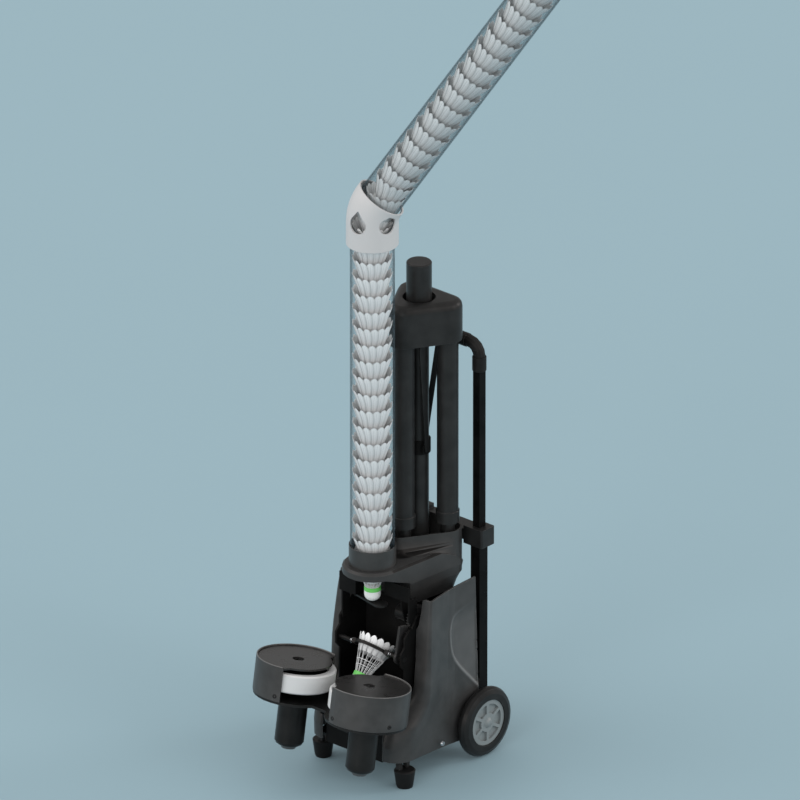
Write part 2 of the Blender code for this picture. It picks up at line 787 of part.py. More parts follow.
def shell_section(height):
    """Gives the right shell's outer plan line at a height, from the rear round to the return."""
    half_width, front_y, corner = shell_station(height)
    inner_x = RETURN_FOOT_X + (RETURN_MIDDLE_X - RETURN_FOOT_X) * between(height, 0.095, 0.150)
    inner_x += (RETURN_TOP_X - RETURN_MIDDLE_X) * between(height, 0.190, 0.250)
    rear_y = SHELL_LUG_Y + (SHELL_MIDDLE_Y - SHELL_LUG_Y) * between(height, 0.075, 0.115)
    rear_y += (SHELL_TOP_Y - SHELL_MIDDLE_Y) * max(0.0, (height - 0.115) / (SHELL_REAR_TOP_Z - 0.115))
    wide = min(corner, half_width - inner_x - 0.003)
    side_front = front_y + corner
    line = []
    for step in range(SIDE_STEPS):
        y = rear_y + (side_front - rear_y) * step / SIDE_STEPS
        reach = max(0.0, (SHELL_TAPER_Y - y) / (SHELL_TAPER_Y - side_front))
        line.append((SHELL_REAR_X + (half_width - SHELL_REAR_X) * reach ** 1.2, y))
    centre_x = half_width - wide
    for step in range(CORNER_STEPS + 1):
        angle = math.pi / 2 * step / CORNER_STEPS
        line.append((centre_x + wide * math.cos(angle), side_front - corner * math.sin(angle)))
    for share, drop in RETURN_STEPS:
        line.append((centre_x + (inner_x - centre_x) * share, front_y + 0.002 * share))
    return line


def inset(line, wall):
    """Gives the line a wall's thickness inside an outer plan line, mitred at each point."""
    inner = []
    for index, (x, y) in enumerate(line):
        behind = line[max(0, index - 1)]
        ahead = line[min(len(line) - 1, index + 1)]
        first = Vector((behind[1] - y, x - behind[0]))
        second = Vector((y - ahead[1], ahead[0] - x))
        first = (first if first.length else second).normalized()
        second = (second if second.length else first).normalized()
        mitre = (first + second) / (1 + first.dot(second))
        inner.append((x - mitre.x * wall, y - mitre.y * wall))
    return inner


def shell_mesh(side):
    """Lofts one side shell with its wall; its foot slopes and its return is notched at the top."""
    drops = [0.0] * (SIDE_STEPS + CORNER_STEPS + 1) + [drop for share, drop in RETURN_STEPS]
    columns = len(drops)
    lowest = SHELL_STATIONS[-1][0]
    bm = bmesh.new()
    rows = []
    for station in SHELL_STATIONS:
        share = (station[0] - lowest) / (SHELL_STATIONS[0][0] - lowest)
        outer = []
        inner = []
        for index, drop in enumerate(drops):
            forward = min(1.0, index / SIDE_STEPS)
            foot = SHELL_FOOT_REAR_Z + (SHELL_FOOT_FRONT_Z - SHELL_FOOT_REAR_Z) * forward
            top = SHELL_REAR_TOP_Z + (SHELL_TIP_Z - SHELL_REAR_TOP_Z) * forward - NOTCH_DROP * drop
            height = foot + (top - foot) * share
            line = shell_section(height)
            for points, made in ((line, outer), (inset(line, SHELL_WALL), inner)):
                x, y = points[index]
                made.append(bm.verts.new((side * x, y, height)))
        rows.append(outer + inner[::-1])
    loop = 2 * columns
    for low, high in zip(rows, rows[1:]):
        for i in range(loop):
            j = (i + 1) % loop
            bm.faces.new((low[i], low[j], high[j], high[i]))
    for row in (rows[0], rows[-1]):
        for i in range(columns - 1):
            bm.faces.new((row[i], row[i + 1], row[loop - 2 - i], row[loop - 1 - i]))
    bmesh.ops.recalc_face_normals(bm, faces=bm.faces)
    mesh = bpy.data.meshes.new("side_shell")
    bm.to_mesh(mesh)
    bm.free()
    return mesh


def build_side_shell(name, side):
    """Makes a side shell with the hole that the axle passes through."""
    obj = place(name, shell_mesh(side), shell_black, MACHINE)
    start = Vector((side * (SHELL_REAR_X - 0.02), AXLE_Y, AXLE_Z))
    turn = Matrix.Rotation(math.radians(90 * side), 4, "Y")
    cut_hole(obj, rod_mesh(AXLE_R + 0.001, 0.04, 20), MACHINE, Matrix.Translation(start) @ turn)
    return obj


def build_chassis():
    """Makes the floor pan, inner walls, panels and covers between the side shells."""
    base_top = BASE_Z + BASE_THICK
    pan = disc_hull([(-0.0635, FOOT_Y + 0.003, 0.0215), (0.0635, FOOT_Y + 0.003, 0.0215),
                     (0.073, 0.138, 0.008), (-0.073, 0.138, 0.008)], 6)
    base = plate("base_plate", [pan], BASE_Z, base_top, coated_metal, MACHINE)
    low = FOOT_HEIGHT + SEAT_GAP
    high = BASE_Z + 0.001
    leg_in = FOOT_TOP_R * 0.3
    leg_out = FOOT_TOP_R * 0.70
    inboard = 0.004
    fork = [(-leg_out, low), (-leg_in, low), (-leg_in, high - STEM_R), (leg_in, high - STEM_R),
            (leg_in, low), (leg_out, low), (leg_out, high), (-leg_out, high)]
    for side in (-1, 1):
        cut_hole(base, plate_mesh([fork], -STEM_R, STEM_R), MACHINE,
                 Matrix.Translation((side * (FOOT_X - inboard), FOOT_Y, 0)) @ STAND_X, "UNION")
    sleeve_at = Matrix.Translation((0, STAND_SOCKET_Y, base_top - 0.002))
    cut_hole(base, rod_mesh(MAST_TIP_R + 0.006, 0.045, 28), MACHINE, sleeve_at, "UNION")
    cut_hole(base, rod_mesh(MAST_TIP_R + 0.0008, 0.08, 28), MACHINE,
             Matrix.Translation((0, STAND_SOCKET_Y, BASE_Z - 0.01)))
    for name, side in (("left_inner_wall", -1), ("right_inner_wall", 1)):
        lug = CRADLE_Y - 2.2 * PIN_R
        outline = [(WALL_FRONT_Y, base_top + SEAT_GAP), (WALL_REAR_Y, base_top + SEAT_GAP),
                   (WALL_REAR_Y, WALL_TOP_Z), (0.027, WALL_TOP_Z), (0.016, WALL_SHOULDER_Z),
                   (WALL_FRONT_Y + 0.012, WALL_SHOULDER_Z), (WALL_FRONT_Y, WALL_SHOULDER_Z - 0.012),
                   (WALL_FRONT_Y, CRADLE_Z + 0.020), (lug, CRADLE_Z + 0.010),
                   (lug, CRADLE_Z - 0.010), (WALL_FRONT_Y, CRADLE_Z - 0.020)]
        holes = [circle(PIN_R + RUN_GAP, 20, (CRADLE_Y, CRADLE_Z))]
        if side > 0:
            gear_y, gear_z = gear_centre()
            holes.append(circle(FEED_SHAFT_R + 0.001, 16, (gear_y, gear_z)))
        low = WALL_X if side > 0 else -WALL_X - WALL_THICK
        plate(name, [outline] + holes, low, low + WALL_THICK, inner_black, MACHINE, STAND_X)

    half = RETURN_FOOT_X - 0.0035
    panel = [(-half, 0.040), (half, 0.040), (half, FLOOR_Z - SEAT_GAP), (-half, FLOOR_Z - SEAT_GAP)]
    plate("front_lower_panel", [panel], -FRONT_PANEL_Y - COVER_THICK, -FRONT_PANEL_Y, inner_black,
          MACHINE, STAND_Y)
    inner = WALL_X - SEAT_GAP
    liner_y = 0.0585
    front = FRONT_PANEL_Y - COVER_THICK + 0.003
    liner_top = CAP_FOOT_Z - SEAT_GAP
    liner = place("cavity_liner",
                  box_mesh((-inner, front, FLOOR_Z), (inner, liner_y + COVER_THICK, liner_top)),
                  inner_black, MACHINE)
    cut_hole(liner, box_mesh((-0.1, front - 0.01, FLOOR_Z + COVER_THICK), (0.1, liner_y, 0.3)), MACHINE)
    cheek = RETURN_FOOT_X - 0.0035
    for side in (-1, 1):
        cut_hole(liner, box_mesh((min(side * cheek, side * 0.1), front - 0.01, FLOOR_Z - 0.01),
                                 (max(side * cheek, side * 0.1), SHELL_STATIONS[6][2] + 0.012, 0.3)),
                 MACHINE)

    corner = 0.012
    half = SHELL_REAR_X - SHELL_WALL - 0.002
    middle = (base_top + CAP_FOOT_Z) / 2
    cover = [(x, z + middle) for x, z in
             rounded_box(half, (CAP_FOOT_Z - base_top) / 2 - SEAT_GAP, corner, 5)]
    plate("rear_cover", [cover], -REAR_COVER_Y, COVER_THICK - REAR_COVER_Y, inner_black, MACHINE, STAND_Y)

    size_x, size_y, size_z = BATTERY
    low = (-size_x / 2, BATTERY_Y - size_y / 2 + 0.010, base_top + SEAT_GAP)
    high = (size_x / 2, BATTERY_Y + size_y / 2 + 0.010, base_top + size_z)
    battery = place("battery_pack", box_mesh(low, high), coated_metal, MACHINE)
    bevel(battery, 0.003, 1)


def gear_centre():
    """Gives the feed gear's centre in Y and Z, in mesh with the cradle's sector."""
    reach = GEAR_MODULE * (GEAR_TEETH + SECTOR_TEETH) / 2
    return (CRADLE_Y + reach * math.cos(GEAR_DIRECTION), CRADLE_Z + reach * math.sin(GEAR_DIRECTION))


def involute(angle):
    """Gives the involute function of a pressure angle."""
    return math.tan(angle) - angle


def tooth_points(teeth, centre_angle):
    """Gives one involute tooth's outline, root to tip to root, about the gear's centre."""
    pitch_r = GEAR_MODULE * teeth / 2
    base_r = pitch_r * math.cos(GEAR_PRESSURE)
    tip_r = pitch_r + GEAR_MODULE
    root_r = pitch_r - 1.25 * GEAR_MODULE
    half_pitch = math.pi / (2 * teeth) - GEAR_BACKLASH / (4 * pitch_r)

    def half_angle(radius):
        if radius <= base_r:
            return half_pitch + involute(GEAR_PRESSURE)
        return half_pitch + involute(GEAR_PRESSURE) - involute(math.acos(base_r / radius))

    flank = [root_r, pitch_r, tip_r]
    points = [(radius, centre_angle - half_angle(radius)) for radius in flank]
    points += [(radius, centre_angle + half_angle(radius)) for radius in reversed(flank)]
    return [(radius * math.cos(angle), radius * math.sin(angle)) for radius, angle in points]


def build_feed_drive():
    """Makes the feed gear on its shaft, and the gear motor behind the right wall."""
    gear_y, gear_z = gear_centre()
    axis = empty("feed_gear_axis", MACHINE, Matrix.Translation((0, gear_y, gear_z)))
    outline = []
    facing = GEAR_DIRECTION + math.pi
    for index in range(GEAR_TEETH):
        centre = facing + 2 * math.pi * (index + 0.5) / GEAR_TEETH
        outline += tooth_points(GEAR_TEETH, centre)
    gear = plate("feed_gear", [outline], GEAR_X - 0.0005, GEAR_X + GEAR_THICK + 0.0005,
                 gear_grey, axis, STAND_X)
    start = MOTOR_PLATE_X
    end = WALL_X + WALL_THICK
    cut_hole(gear, rod_mesh(FEED_SHAFT_R, end - start, 16, axis="X"), axis,
             Matrix.Translation((start, 0, 0)), "UNION")
    motor = place("feed_motor", rod_mesh(FEED_MOTOR_R, FEED_MOTOR_LENGTH, 24, axis="X"), coated_metal,
                  MACHINE, Matrix.Translation((start - SEAT_GAP - FEED_MOTOR_LENGTH, gear_y, gear_z)))
    bevel(motor, 0.001, 1)


def gear_grey(name):
    """Grey acetal of the gears."""
    return material(name, (0.10, 0.10, 0.11), 0.5)


def build_cradle():
    """Makes the tilting ring that catches a shuttle, with its pins, gear sector and shuttle."""
    pivot = empty("cradle_axis", MACHINE, Matrix.Translation((0, CRADLE_Y, CRADLE_Z)))
    lean = empty("cradle_lean", pivot, Matrix.Rotation(-CRADLE_LEAN, 4, "X"))
    middle = (CRADLE_RING_LOW + CRADLE_RING_HIGH) / 2
    inner = skirt_radius(CRADLE_RING_HIGH) + CRADLE_PLAY
    outer = inner + CRADLE_BAND
    opening = math.radians(70)
    ear = CRADLE_EAR_X
    steps = 18
    band = []
    start = math.pi / 2 + opening
    turn = 2 * math.pi - 2 * opening
    for step in range(steps + 1):
        angle = start + turn * step / steps
        band.append((outer * math.cos(angle), CRADLE_OFFSET + outer * math.sin(angle)))
    for step in range(steps, -1, -1):
        angle = start + turn * step / steps
        band.append((inner * math.cos(angle), CRADLE_OFFSET + inner * math.sin(angle)))
    half = (CRADLE_RING_HIGH - CRADLE_RING_LOW) / 2
    obj = plate("feed_cradle", [band], -half, half, inner_black, lean)
    for side in (-1, 1):
        reach = side * (inner + 0.001)
        low = (min(reach, side * ear), -0.006, -half * 1.6)
        high = (max(reach, side * ear), 0.006, half * 1.6)
        cut_hole(obj, box_mesh(low, high), lean, None, "UNION")
        turn_x = Matrix.Rotation(math.radians(90 * side), 4, "Y")
        length = WALL_X + WALL_THICK - ear + 0.002
        cut_hole(obj, rod_mesh(PIN_R, length, 16), lean,
                 Matrix.Translation((side * (ear - 0.002), 0, 0)) @ turn_x, "UNION")
    seat = Matrix.Translation((0, CRADLE_OFFSET, -middle))
    feathered_shuttle("held_shuttle", lean, seat)

    outline = []
    first = GEAR_DIRECTION - math.radians(9) - 2 * math.pi * (SECTOR_CUT_TEETH // 2) / SECTOR_TEETH
    lead = round((first - GEAR_DIRECTION) / (2 * math.pi / SECTOR_TEETH))
    for index in range(SECTOR_CUT_TEETH):
        centre = GEAR_DIRECTION + 2 * math.pi * (lead + index) / SECTOR_TEETH
        outline += tooth_points(SECTOR_TEETH, centre)
    hub_r = 0.010
    end_angle = math.atan2(outline[-1][1], outline[-1][0])
    start_angle = math.atan2(outline[0][1], outline[0][0])
    sweep = 2 * math.pi - (end_angle - start_angle)
    hub_steps = 9
    for step in range(hub_steps + 1):
        angle = end_angle + sweep * (0.18 + 0.64 * step / hub_steps)
        outline.append((hub_r * math.cos(angle), hub_r * math.sin(angle)))
    middle_angle = (start_angle + end_angle) / 2
    slot = disc_hull([(0.024 * math.cos(middle_angle - 0.35), 0.024 * math.sin(middle_angle - 0.35), 0.004),
                      (0.036 * math.cos(middle_angle - 0.45), 0.036 * math.sin(middle_angle - 0.45), 0.006),
                      (0.036 * math.cos(middle_angle + 0.45), 0.036 * math.sin(middle_angle + 0.45), 0.006),
                      (0.024 * math.cos(middle_angle + 0.35), 0.024 * math.sin(middle_angle + 0.35), 0.004)],
                     4)
    bore = circle(PIN_R + SEAT_GAP, 16)
    plate("cradle_sector", [outline, bore, slot], GEAR_X, GEAR_X + GEAR_THICK, gear_grey,
          pivot, STAND_X)


def build_gate():
    """Makes the gate that the lowest cork rests on, and the bracket that carries its pin."""
    top = LOWEST_CORK_Z - SEAT_GAP
    pin = (GATE_PIN_X, GATE_PIN_Y)
    wall = -WALL_X + SEAT_GAP
    axis = empty("gate_axis", MACHINE, Matrix.Translation((*pin, 0)))
    outline = disc_hull([(0.0, 0.0, 0.0052), (GATE_TIP_X - GATE_PIN_X, -GATE_PIN_Y, GATE_TIP_R)], 8)
    hole = circle(GATE_PIN_R + RUN_GAP, 16)
    plate("release_gate", [outline, hole], top - GATE_THICK, top, coated_metal, axis)
    bracket_low = top + SEAT_GAP
    low = (wall, GATE_PIN_Y - 0.011, bracket_low)
    high = (GATE_PIN_X + 0.008, GATE_PIN_Y + 0.011, 0.3175)
    bracket = place("gate_bracket", box_mesh(low, high), inner_black, MACHINE)
    cut_hole(bracket, rod_mesh(GATE_PIN_R, 0.020, 16), MACHINE,
             Matrix.Translation((*pin, top - GATE_THICK - 0.004)), "UNION")
    lower = (wall, GATE_PIN_Y - 0.006, WALL_SHOULDER_Z - 0.014)
    upper = (wall + 0.003, GATE_PIN_Y + 0.011, bracket_low + 0.002)
    cut_hole(bracket, box_mesh(lower, upper), MACHINE, None, "UNION")
    front = 0.012
    feed = place("feed_bracket",
                 box_mesh((0.014, front, 0.296), (WALL_X - SEAT_GAP, front + 0.003, 0.3215)),
                 inner_black, MACHINE)
    cut_hole(feed, box_mesh((WALL_X - 0.003, front, 0.262), (WALL_X - SEAT_GAP, 0.030, 0.300)), MACHINE,
             None, "UNION")
    gear_y, gear_z = gear_centre()
    arm = [(front, 0.304), (front, 0.286), (gear_y - 0.014, gear_z - 0.014),
           (gear_y + 0.014, gear_z - 0.014), (gear_y + 0.014, gear_z + 0.010), (front + 0.016, 0.300)]
    hole = circle(FEED_SHAFT_R + 0.001, 16, (gear_y, gear_z))
    cut_hole(feed, plate_mesh([arm, hole], MOTOR_PLATE_X, MOTOR_PLATE_X + MOTOR_PLATE_THICK), MACHINE,
             STAND_X, "UNION")


def head_frame(side):
    """Gives the frame of a throwing head: origin on the lid, Z along the tilted motor shaft."""
    return lean_matrix(HEAD_PITCH, (side * HEAD_X, HEAD_Y, HEAD_Z))


def arc_wall(radius, wall, gap_angle, facing, steps=22):
    """Gives the outline of a round wall that is open on one side."""
    start = facing + gap_angle / 2
    turn = 2 * math.pi - gap_angle
    outer = [(radius * math.cos(start + turn * i / steps), radius * math.sin(start + turn * i / steps))
             for i in range(steps + 1)]
    inside = radius - wall
    inner = [(inside * math.cos(start + turn * i / steps), inside * math.sin(start + turn * i / steps))
             for i in range(steps, -1, -1)]
    return outer + inner


def build_head(word, side):
    """Makes one throwing head: shroud and lid, flywheel on its hub, shaft and motor."""
    frame = empty(word + "_head_frame", MACHINE, head_frame(side))
    facing = math.pi if side > 0 else 0.0
    plate(word + "_shroud", [arc_wall(SHROUD_R, SHROUD_WALL, SHROUD_OPEN, facing)], -SHROUD_HEIGHT, 0.0015,
          shell_black, frame)
    lid = []
    steps = 44
    for step in range(steps):
        angle = facing + 2 * math.pi * (step + 0.5) / steps
        turn = abs((angle - facing + math.pi) % (2 * math.pi) - math.pi)
        radius = LID_OPEN_R if turn < SHROUD_OPEN / 2 - 0.12 else SHROUD_R - SHROUD_WALL - SEAT_GAP
        lid.append((radius * math.cos(angle), radius * math.sin(angle)))
    plate(word + "_lid", [lid, circle(LID_HOLE_R, 16)], -LID_THICK, 0.0, shell_black, frame)
    top = -FLYWHEEL_TOP
    low = top - FLYWHEEL_THICK
    rim_inner = FLYWHEEL_R - FLYWHEEL_RIM
    crown = 0.002
    turned(word + "_flywheel_tyre",
           [(FLYWHEEL_R - crown, top), (FLYWHEEL_R, top - crown), (FLYWHEEL_R, low + crown),
            (FLYWHEEL_R - crown, low), (rim_inner, low), (rim_inner, top)],
           white_plastic, frame, sides=36)
    hub_r = rim_inner - SEAT_GAP
    mount = -SHROUD_HEIGHT - SEAT_GAP - BRACKET_THICK
    motor_top = mount - SEAT_GAP
    web_low = low + 0.009
    web_top = top - 0.009
    boss_r = 0.012
    turned(word + "_flywheel_hub",
           [(0.0, web_top + 0.005), (boss_r, web_top + 0.005), (boss_r, web_top), (hub_r, web_top),
            (hub_r, web_low), (boss_r, web_low), (boss_r, low - 0.004), (SHAFT_R, low - 0.004),
            (SHAFT_R, motor_top + SEAT_GAP), (0.0, motor_top + SEAT_GAP)],
           inner_black, frame, sides=24, closed=False)
    bottom = -MOTOR_BOTTOM
    edge = bottom + MOTOR_CAP
    turned(word + "_motor",
           [(0.0, motor_top), (MOTOR_R - 0.001, motor_top), (MOTOR_R, motor_top - 0.001),
            (MOTOR_R, edge), (MOTOR_R * 0.95, edge), (MOTOR_R * 0.90, bottom + 0.004),
            (MOTOR_R * 0.70, bottom + 0.001), (0.0, bottom)],
           coated_metal, frame, sides=24, closed=False)


def build_head_bracket():
    """Makes the tilted plate under both heads and the neck that ties it to the front panel."""
    frame = empty("bracket_frame", MACHINE, lean_matrix(HEAD_PITCH, (0, HEAD_Y, HEAD_Z)))
    top = -SHROUD_HEIGHT - SEAT_GAP
    disc_r = SHROUD_R - 0.001
    waist = 0.026
    outline = []
    for side in (1, -1):
        half = math.asin(waist / disc_r)
        start = (math.pi if side > 0 else 0.0) + half
        turn = 2 * math.pi - 2 * half
        steps = 26
        for step in range(steps + 1):
            angle = start + turn * step / steps
            outline.append((side * HEAD_X + disc_r * math.cos(angle), disc_r * math.sin(angle)))
    holes = [circle(SHAFT_R + 0.004, 16, (side * HEAD_X, 0.0)) for side in (-1, 1)]
    bracket = plate("head_bracket", [outline] + holes, top - BRACKET_THICK, top, coated_metal, frame)
    neck_low = (-NECK_X, 0.015, top - BRACKET_THICK - 0.020)
    neck_high = (NECK_X, 0.060, top - 0.001)
    cut_hole(bracket, box_mesh(neck_low, neck_high), frame, None, "UNION")
    seat = FRONT_PANEL_Y - SEAT_GAP
    flange_low = (-NECK_X, seat - 0.006, FLOOR_Z - 0.040)
    flange_high = (NECK_X, seat + 0.006, FLOOR_Z + 0.006)
    cut_hole(bracket, box_mesh(flange_low, flange_high), MACHINE, None, "UNION")
    cut_hole(bracket, box_mesh((-0.2, seat, 0.0), (0.2, 0.2, 0.4)), MACHINE)


def build_wheel(word, side):
    """Makes a transport wheel: tyre, pocketed hub and axle cap."""
    outer = side * WHEEL_FACE_X
    turn = Matrix.Rotation(math.radians(90 * side), 4, "Y")
    axis = empty(word + "_wheel_axis", MACHINE, Matrix.Translation((outer, AXLE_Y, AXLE_Z)) @ turn)
    round_r = 0.006
    inner = HUB_R + SEAT_GAP
    width = WHEEL_WIDTH
    turned(word + "_tyre",
           [(inner, 0.0), (WHEEL_R - round_r * 1.6, 0.0), (WHEEL_R - round_r * 0.5, -round_r * 0.45),
            (WHEEL_R, -round_r * 1.3), (WHEEL_R, -width + round_r * 1.3),
            (WHEEL_R - round_r * 0.5, -width + round_r * 0.45), (WHEEL_R - round_r * 1.6, -width),
            (inner, -width)],
           rubber, axis, sides=36)
    ring = HUB_R - 0.006
    pocket_in = 0.0155
    windows = []
    for index in range(HUB_POCKETS):
        middle = 2 * math.pi * (index + 0.5) / HUB_POCKETS
        half_in = 0.36
        half_out = 0.44
        arc = [(ring - 0.001, middle + half_out * (2 * i / 5 - 1)) for i in range(6)]
        arc += [(pocket_in, middle - half_in * (2 * i / 3 - 1)) for i in range(4)]
        windows.append([(r * math.cos(a), r * math.sin(a)) for r, a in arc])
    back = -width + 0.002
    face = -0.002
    blind = face - AXLE_COVER
    bore = AXLE_R + RUN_GAP
    hub = turned(word + "_hub",
                 [(0.0, 0.0015), (0.006, 0.0012), (0.0085, face), (HUB_R, face), (HUB_R, back),
                  (bore, back), (bore, blind), (0.0, blind)],
                 hub_grey, axis, sides=32, closed=False)
    pocket_depth = 0.004
    for window in windows:
        cut_hole(hub, plate_mesh([window], face - pocket_depth, 0.004), axis)


def hub_grey(name):
    """Light grey plastic of the wheel hubs."""
    return material(name, (0.42, 0.45, 0.47), 0.45)


def build_running_gear():
    """Makes the axle, both transport wheels and the two front feet on their stems."""
    half = WHEEL_FACE_X - 0.002 - AXLE_COVER - SEAT_GAP
    place("axle", rod_mesh(AXLE_R, 2 * half, 20, axis="X"), bright_metal, MACHINE,
          Matrix.Translation((-half, AXLE_Y, AXLE_Z)))
    build_wheel("left", -1)
    build_wheel("right", 1)
    for word, side in (("left", -1), ("right", 1)):
        turned(word + "_foot",
               [(0.0, FOOT_HEIGHT), (FOOT_TOP_R - 0.002, FOOT_HEIGHT), (FOOT_TOP_R, FOOT_HEIGHT - 0.002),
                (FOOT_BASE_R, 0.003), (FOOT_BASE_R - 0.001, 0.0), (0.0, 0.0)],
               rubber, MACHINE, Matrix.Translation((side * FOOT_X, FOOT_Y, 0)), 24, closed=False)


def square_tube(name, side, outer, inner, low, high, parent):
    """Makes one upright square tube of the handle."""
    outlines = [box_outline(outer / 2, outer / 2), box_outline(inner / 2, inner / 2)]
    return plate(name, outlines, low, high, coated_metal, parent,
                 Matrix.Translation((side * HANDLE_X, HANDLE_Y, 0)))


def build_handle():
    """Makes the telescoping handle, its clamp bar and the lower mount."""
    slide = empty("handle_slide", MACHINE)
    bore = INNER_TUBE + 2 * RUN_GAP
    for word, side in (("left", -1), ("right", 1)):
        square_tube(word + "_outer_tube", side, OUTER_TUBE, bore, OUTER_FOOT_Z, OUTER_TOP_Z, MACHINE)
        square_tube(word + "_inner_tube", side, INNER_TUBE, INNER_TUBE - 0.0024, INNER_FOOT_Z,
                    CORNER_FOOT_Z, slide)
    clamp_low = OUTER_TOP_Z + SEAT_GAP
    clamp_high = clamp_low + CLAMP_HEIGHT
    half_x = HANDLE_X + CLAMP_X / 2
    bar = [(x, y + HANDLE_Y) for x, y in rounded_box(half_x, CLAMP_Y / 2, 0.003, 3)]
    holes = [box_outline(bore / 2, bore / 2, (side * HANDLE_X, HANDLE_Y)) for side in (-1, 1)]
    clamp = plate("handle_clamp_bar", [bar] + holes, clamp_low, clamp_high, shell_black, MACHINE)
    waist = HANDLE_X - CLAMP_X / 2
    step = CLAMP_HEIGHT * 0.2
    for low, high in ((clamp_low - step, clamp_low + step), (clamp_high - step, clamp_high + step)):
        cut_hole(clamp, box_mesh((-waist, HANDLE_Y - 0.03, low), (waist, HANDLE_Y + 0.03, high)), MACHINE)
    reach = HANDLE_X + 0.012
    rear = HANDLE_Y - OUTER_TUBE / 2 - SEAT_GAP
    low = (-reach, REAR_COVER_Y + SEAT_GAP, LOW_MOUNT_Z)
    high = (reach, rear, LOW_MOUNT_Z + 0.016)
    mount = place("handle_lower_mount", box_mesh(low, high), inner_black, MACHINE)
    bevel(mount, 0.0015, 1)

    path = []
    steps = 4
    for side in (-1, 1):
        arc = [Vector((side * HANDLE_X, HANDLE_Y, CORNER_FOOT_Z + SEAT_GAP))]
        for step in range(steps + 1):
            angle = math.pi / 2 * step / steps
            arc.append(Vector((side * (HANDLE_X - CORNER_BEND_R * (1 - math.cos(angle))), HANDLE_Y,
                               GRIP_Z - CORNER_BEND_R * (1 - math.sin(angle)))))
        path += arc if side < 0 else list(reversed(arc))
    grip = place("handle_grip", sweep_mesh(path, CORNER_R, 12), rubber_grip, slide)
    grip_half = HANDLE_X - CORNER_BEND_R - 0.004
    cut_hole(grip, rod_mesh(GRIP_R, 2 * grip_half, 20, axis="X"), slide,
             Matrix.Translation((-grip_half, HANDLE_Y, GRIP_Z)), "UNION")


def rubber_grip(name):
    """Soft black grip."""
    return material(name, (0.016, 0.016, 0.017), 0.6)


def stand_legs():
    """Gives each folded leg's name and place."""
    return (("front_leg", 0.0, HEAD_NOSE_Y), ("right_leg", HEAD_REAR_X, HEAD_REAR_Y),
            ("left_leg", -HEAD_REAR_X, HEAD_REAR_Y))


def head_outline(offset=0.0):
    """Gives the stand head's plan, a rounded triangle over the three legs."""
    radius = STAND_HEAD_R + offset
    return disc_hull([(0.0, HEAD_NOSE_Y, radius), (HEAD_REAR_X, HEAD_REAR_Y, radius),
                      (-HEAD_REAR_X, HEAD_REAR_Y, radius)], 8)


def build_stand():
    """Makes the folded tripod: head, mast, legs with collars, slider and struts."""
    lift = empty("stand_lift", MACHINE)
    top = STAND_HEAD_TOP_Z
    rounding = STAND_HEAD_ROUND
    sections = [raised(head_outline(), STAND_HEAD_Z)]
    for step in range(5):
        angle = math.pi / 2 * step / 4
        sections.append(raised(head_outline(-rounding * (1 - math.cos(angle))),
                               top - rounding * (1 - math.sin(angle))))
    head = place("stand_head", loft_mesh(sections), shell_black, lift)
    mast_at = Matrix.Translation((0, MAST_Y, 0))
    cut_hole(head, rod_mesh(STAND_HOLE_R, STAND_HOLE_DEPTH + 0.02, 32), lift,
             mast_at @ Matrix.Translation((0, 0, top - STAND_HOLE_DEPTH)))
    cut_hole(head, rod_mesh(MAST_TIP_R + SEAT_GAP, 0.12, 32), lift,
             mast_at @ Matrix.Translation((0, 0, STAND_HEAD_Z - 0.02)))
    shoulder = STAND_HEAD_Z + 0.004
    turned("stand_mast",
           [(0.0, MAST_TOP_Z), (MAST_TIP_R - 0.0015, MAST_TOP_Z), (MAST_TIP_R, MAST_TOP_Z - 0.0015),
            (MAST_TIP_R, shoulder), (MAST_R, shoulder), (MAST_R, LEG_FOOT_Z + 0.004),
            (MAST_R - 0.003, LEG_FOOT_Z), (0.0, LEG_FOOT_Z)],
           coated_metal, lift, mast_at, 24, closed=False)
    leg_top = STAND_HEAD_Z - SEAT_GAP
    for name, x, y in stand_legs():
        at = Matrix.Translation((x, y, 0))
        turned("stand_" + name,
               [(0.0, leg_top), (LEG_R, leg_top), (LEG_R, LEG_SLEEVE_Z + COLLAR_HEIGHT),
                (COLLAR_R, LEG_SLEEVE_Z + COLLAR_HEIGHT - 0.001), (COLLAR_R, LEG_SLEEVE_Z),
                (LEG_INNER_R, LEG_SLEEVE_Z), (LEG_INNER_R, LEG_FOOT_Z), (0.0, LEG_FOOT_Z)],
               coated_metal, lift, at, 20, closed=False)
    hub_r = MAST_R + SEAT_GAP
    ring_r = hub_r + 0.0026
    slider = plate("stand_slider", [circle(ring_r, 24, (0, MAST_Y)), circle(hub_r, 24, (0, MAST_Y))],
                   SLIDER_Z, SLIDER_Z + SLIDER_HEIGHT, inner_black, lift)
    for name, x, y in stand_legs():
        away = Vector((x, y - MAST_Y, 0)).normalized()
        side_way = Vector((-away.y, away.x, 0))
        turn = Matrix(((away.x, side_way.x, 0, 0), (away.y, side_way.y, 0, MAST_Y), (0, 0, 1, 0),
                       (0, 0, 0, 1)))
        beside = 0.0156
        low = (0.004, beside, SLIDER_Z + 0.004)
        high = (0.013, beside + 0.0045, SLIDER_Z + SLIDER_HEIGHT - 0.004)
        cut_hole(slider, box_mesh(low, high), lift, turn, "UNION")
        strut_low = SLIDER_Z + SLIDER_HEIGHT + SEAT_GAP
        gap = math.hypot(x, y - MAST_Y)
        strut_y = beside + 0.0046
        outline = disc_hull([(0.006, strut_low - 0.012, 0.0045),
                             (gap - 0.016, STAND_HEAD_Z - 0.010, 0.0045)], 6)
        plate("stand_" + name.replace("leg", "strut"), [outline], -strut_y - 0.003, -strut_y,
              coated_metal, lift, turn @ STAND_Y)


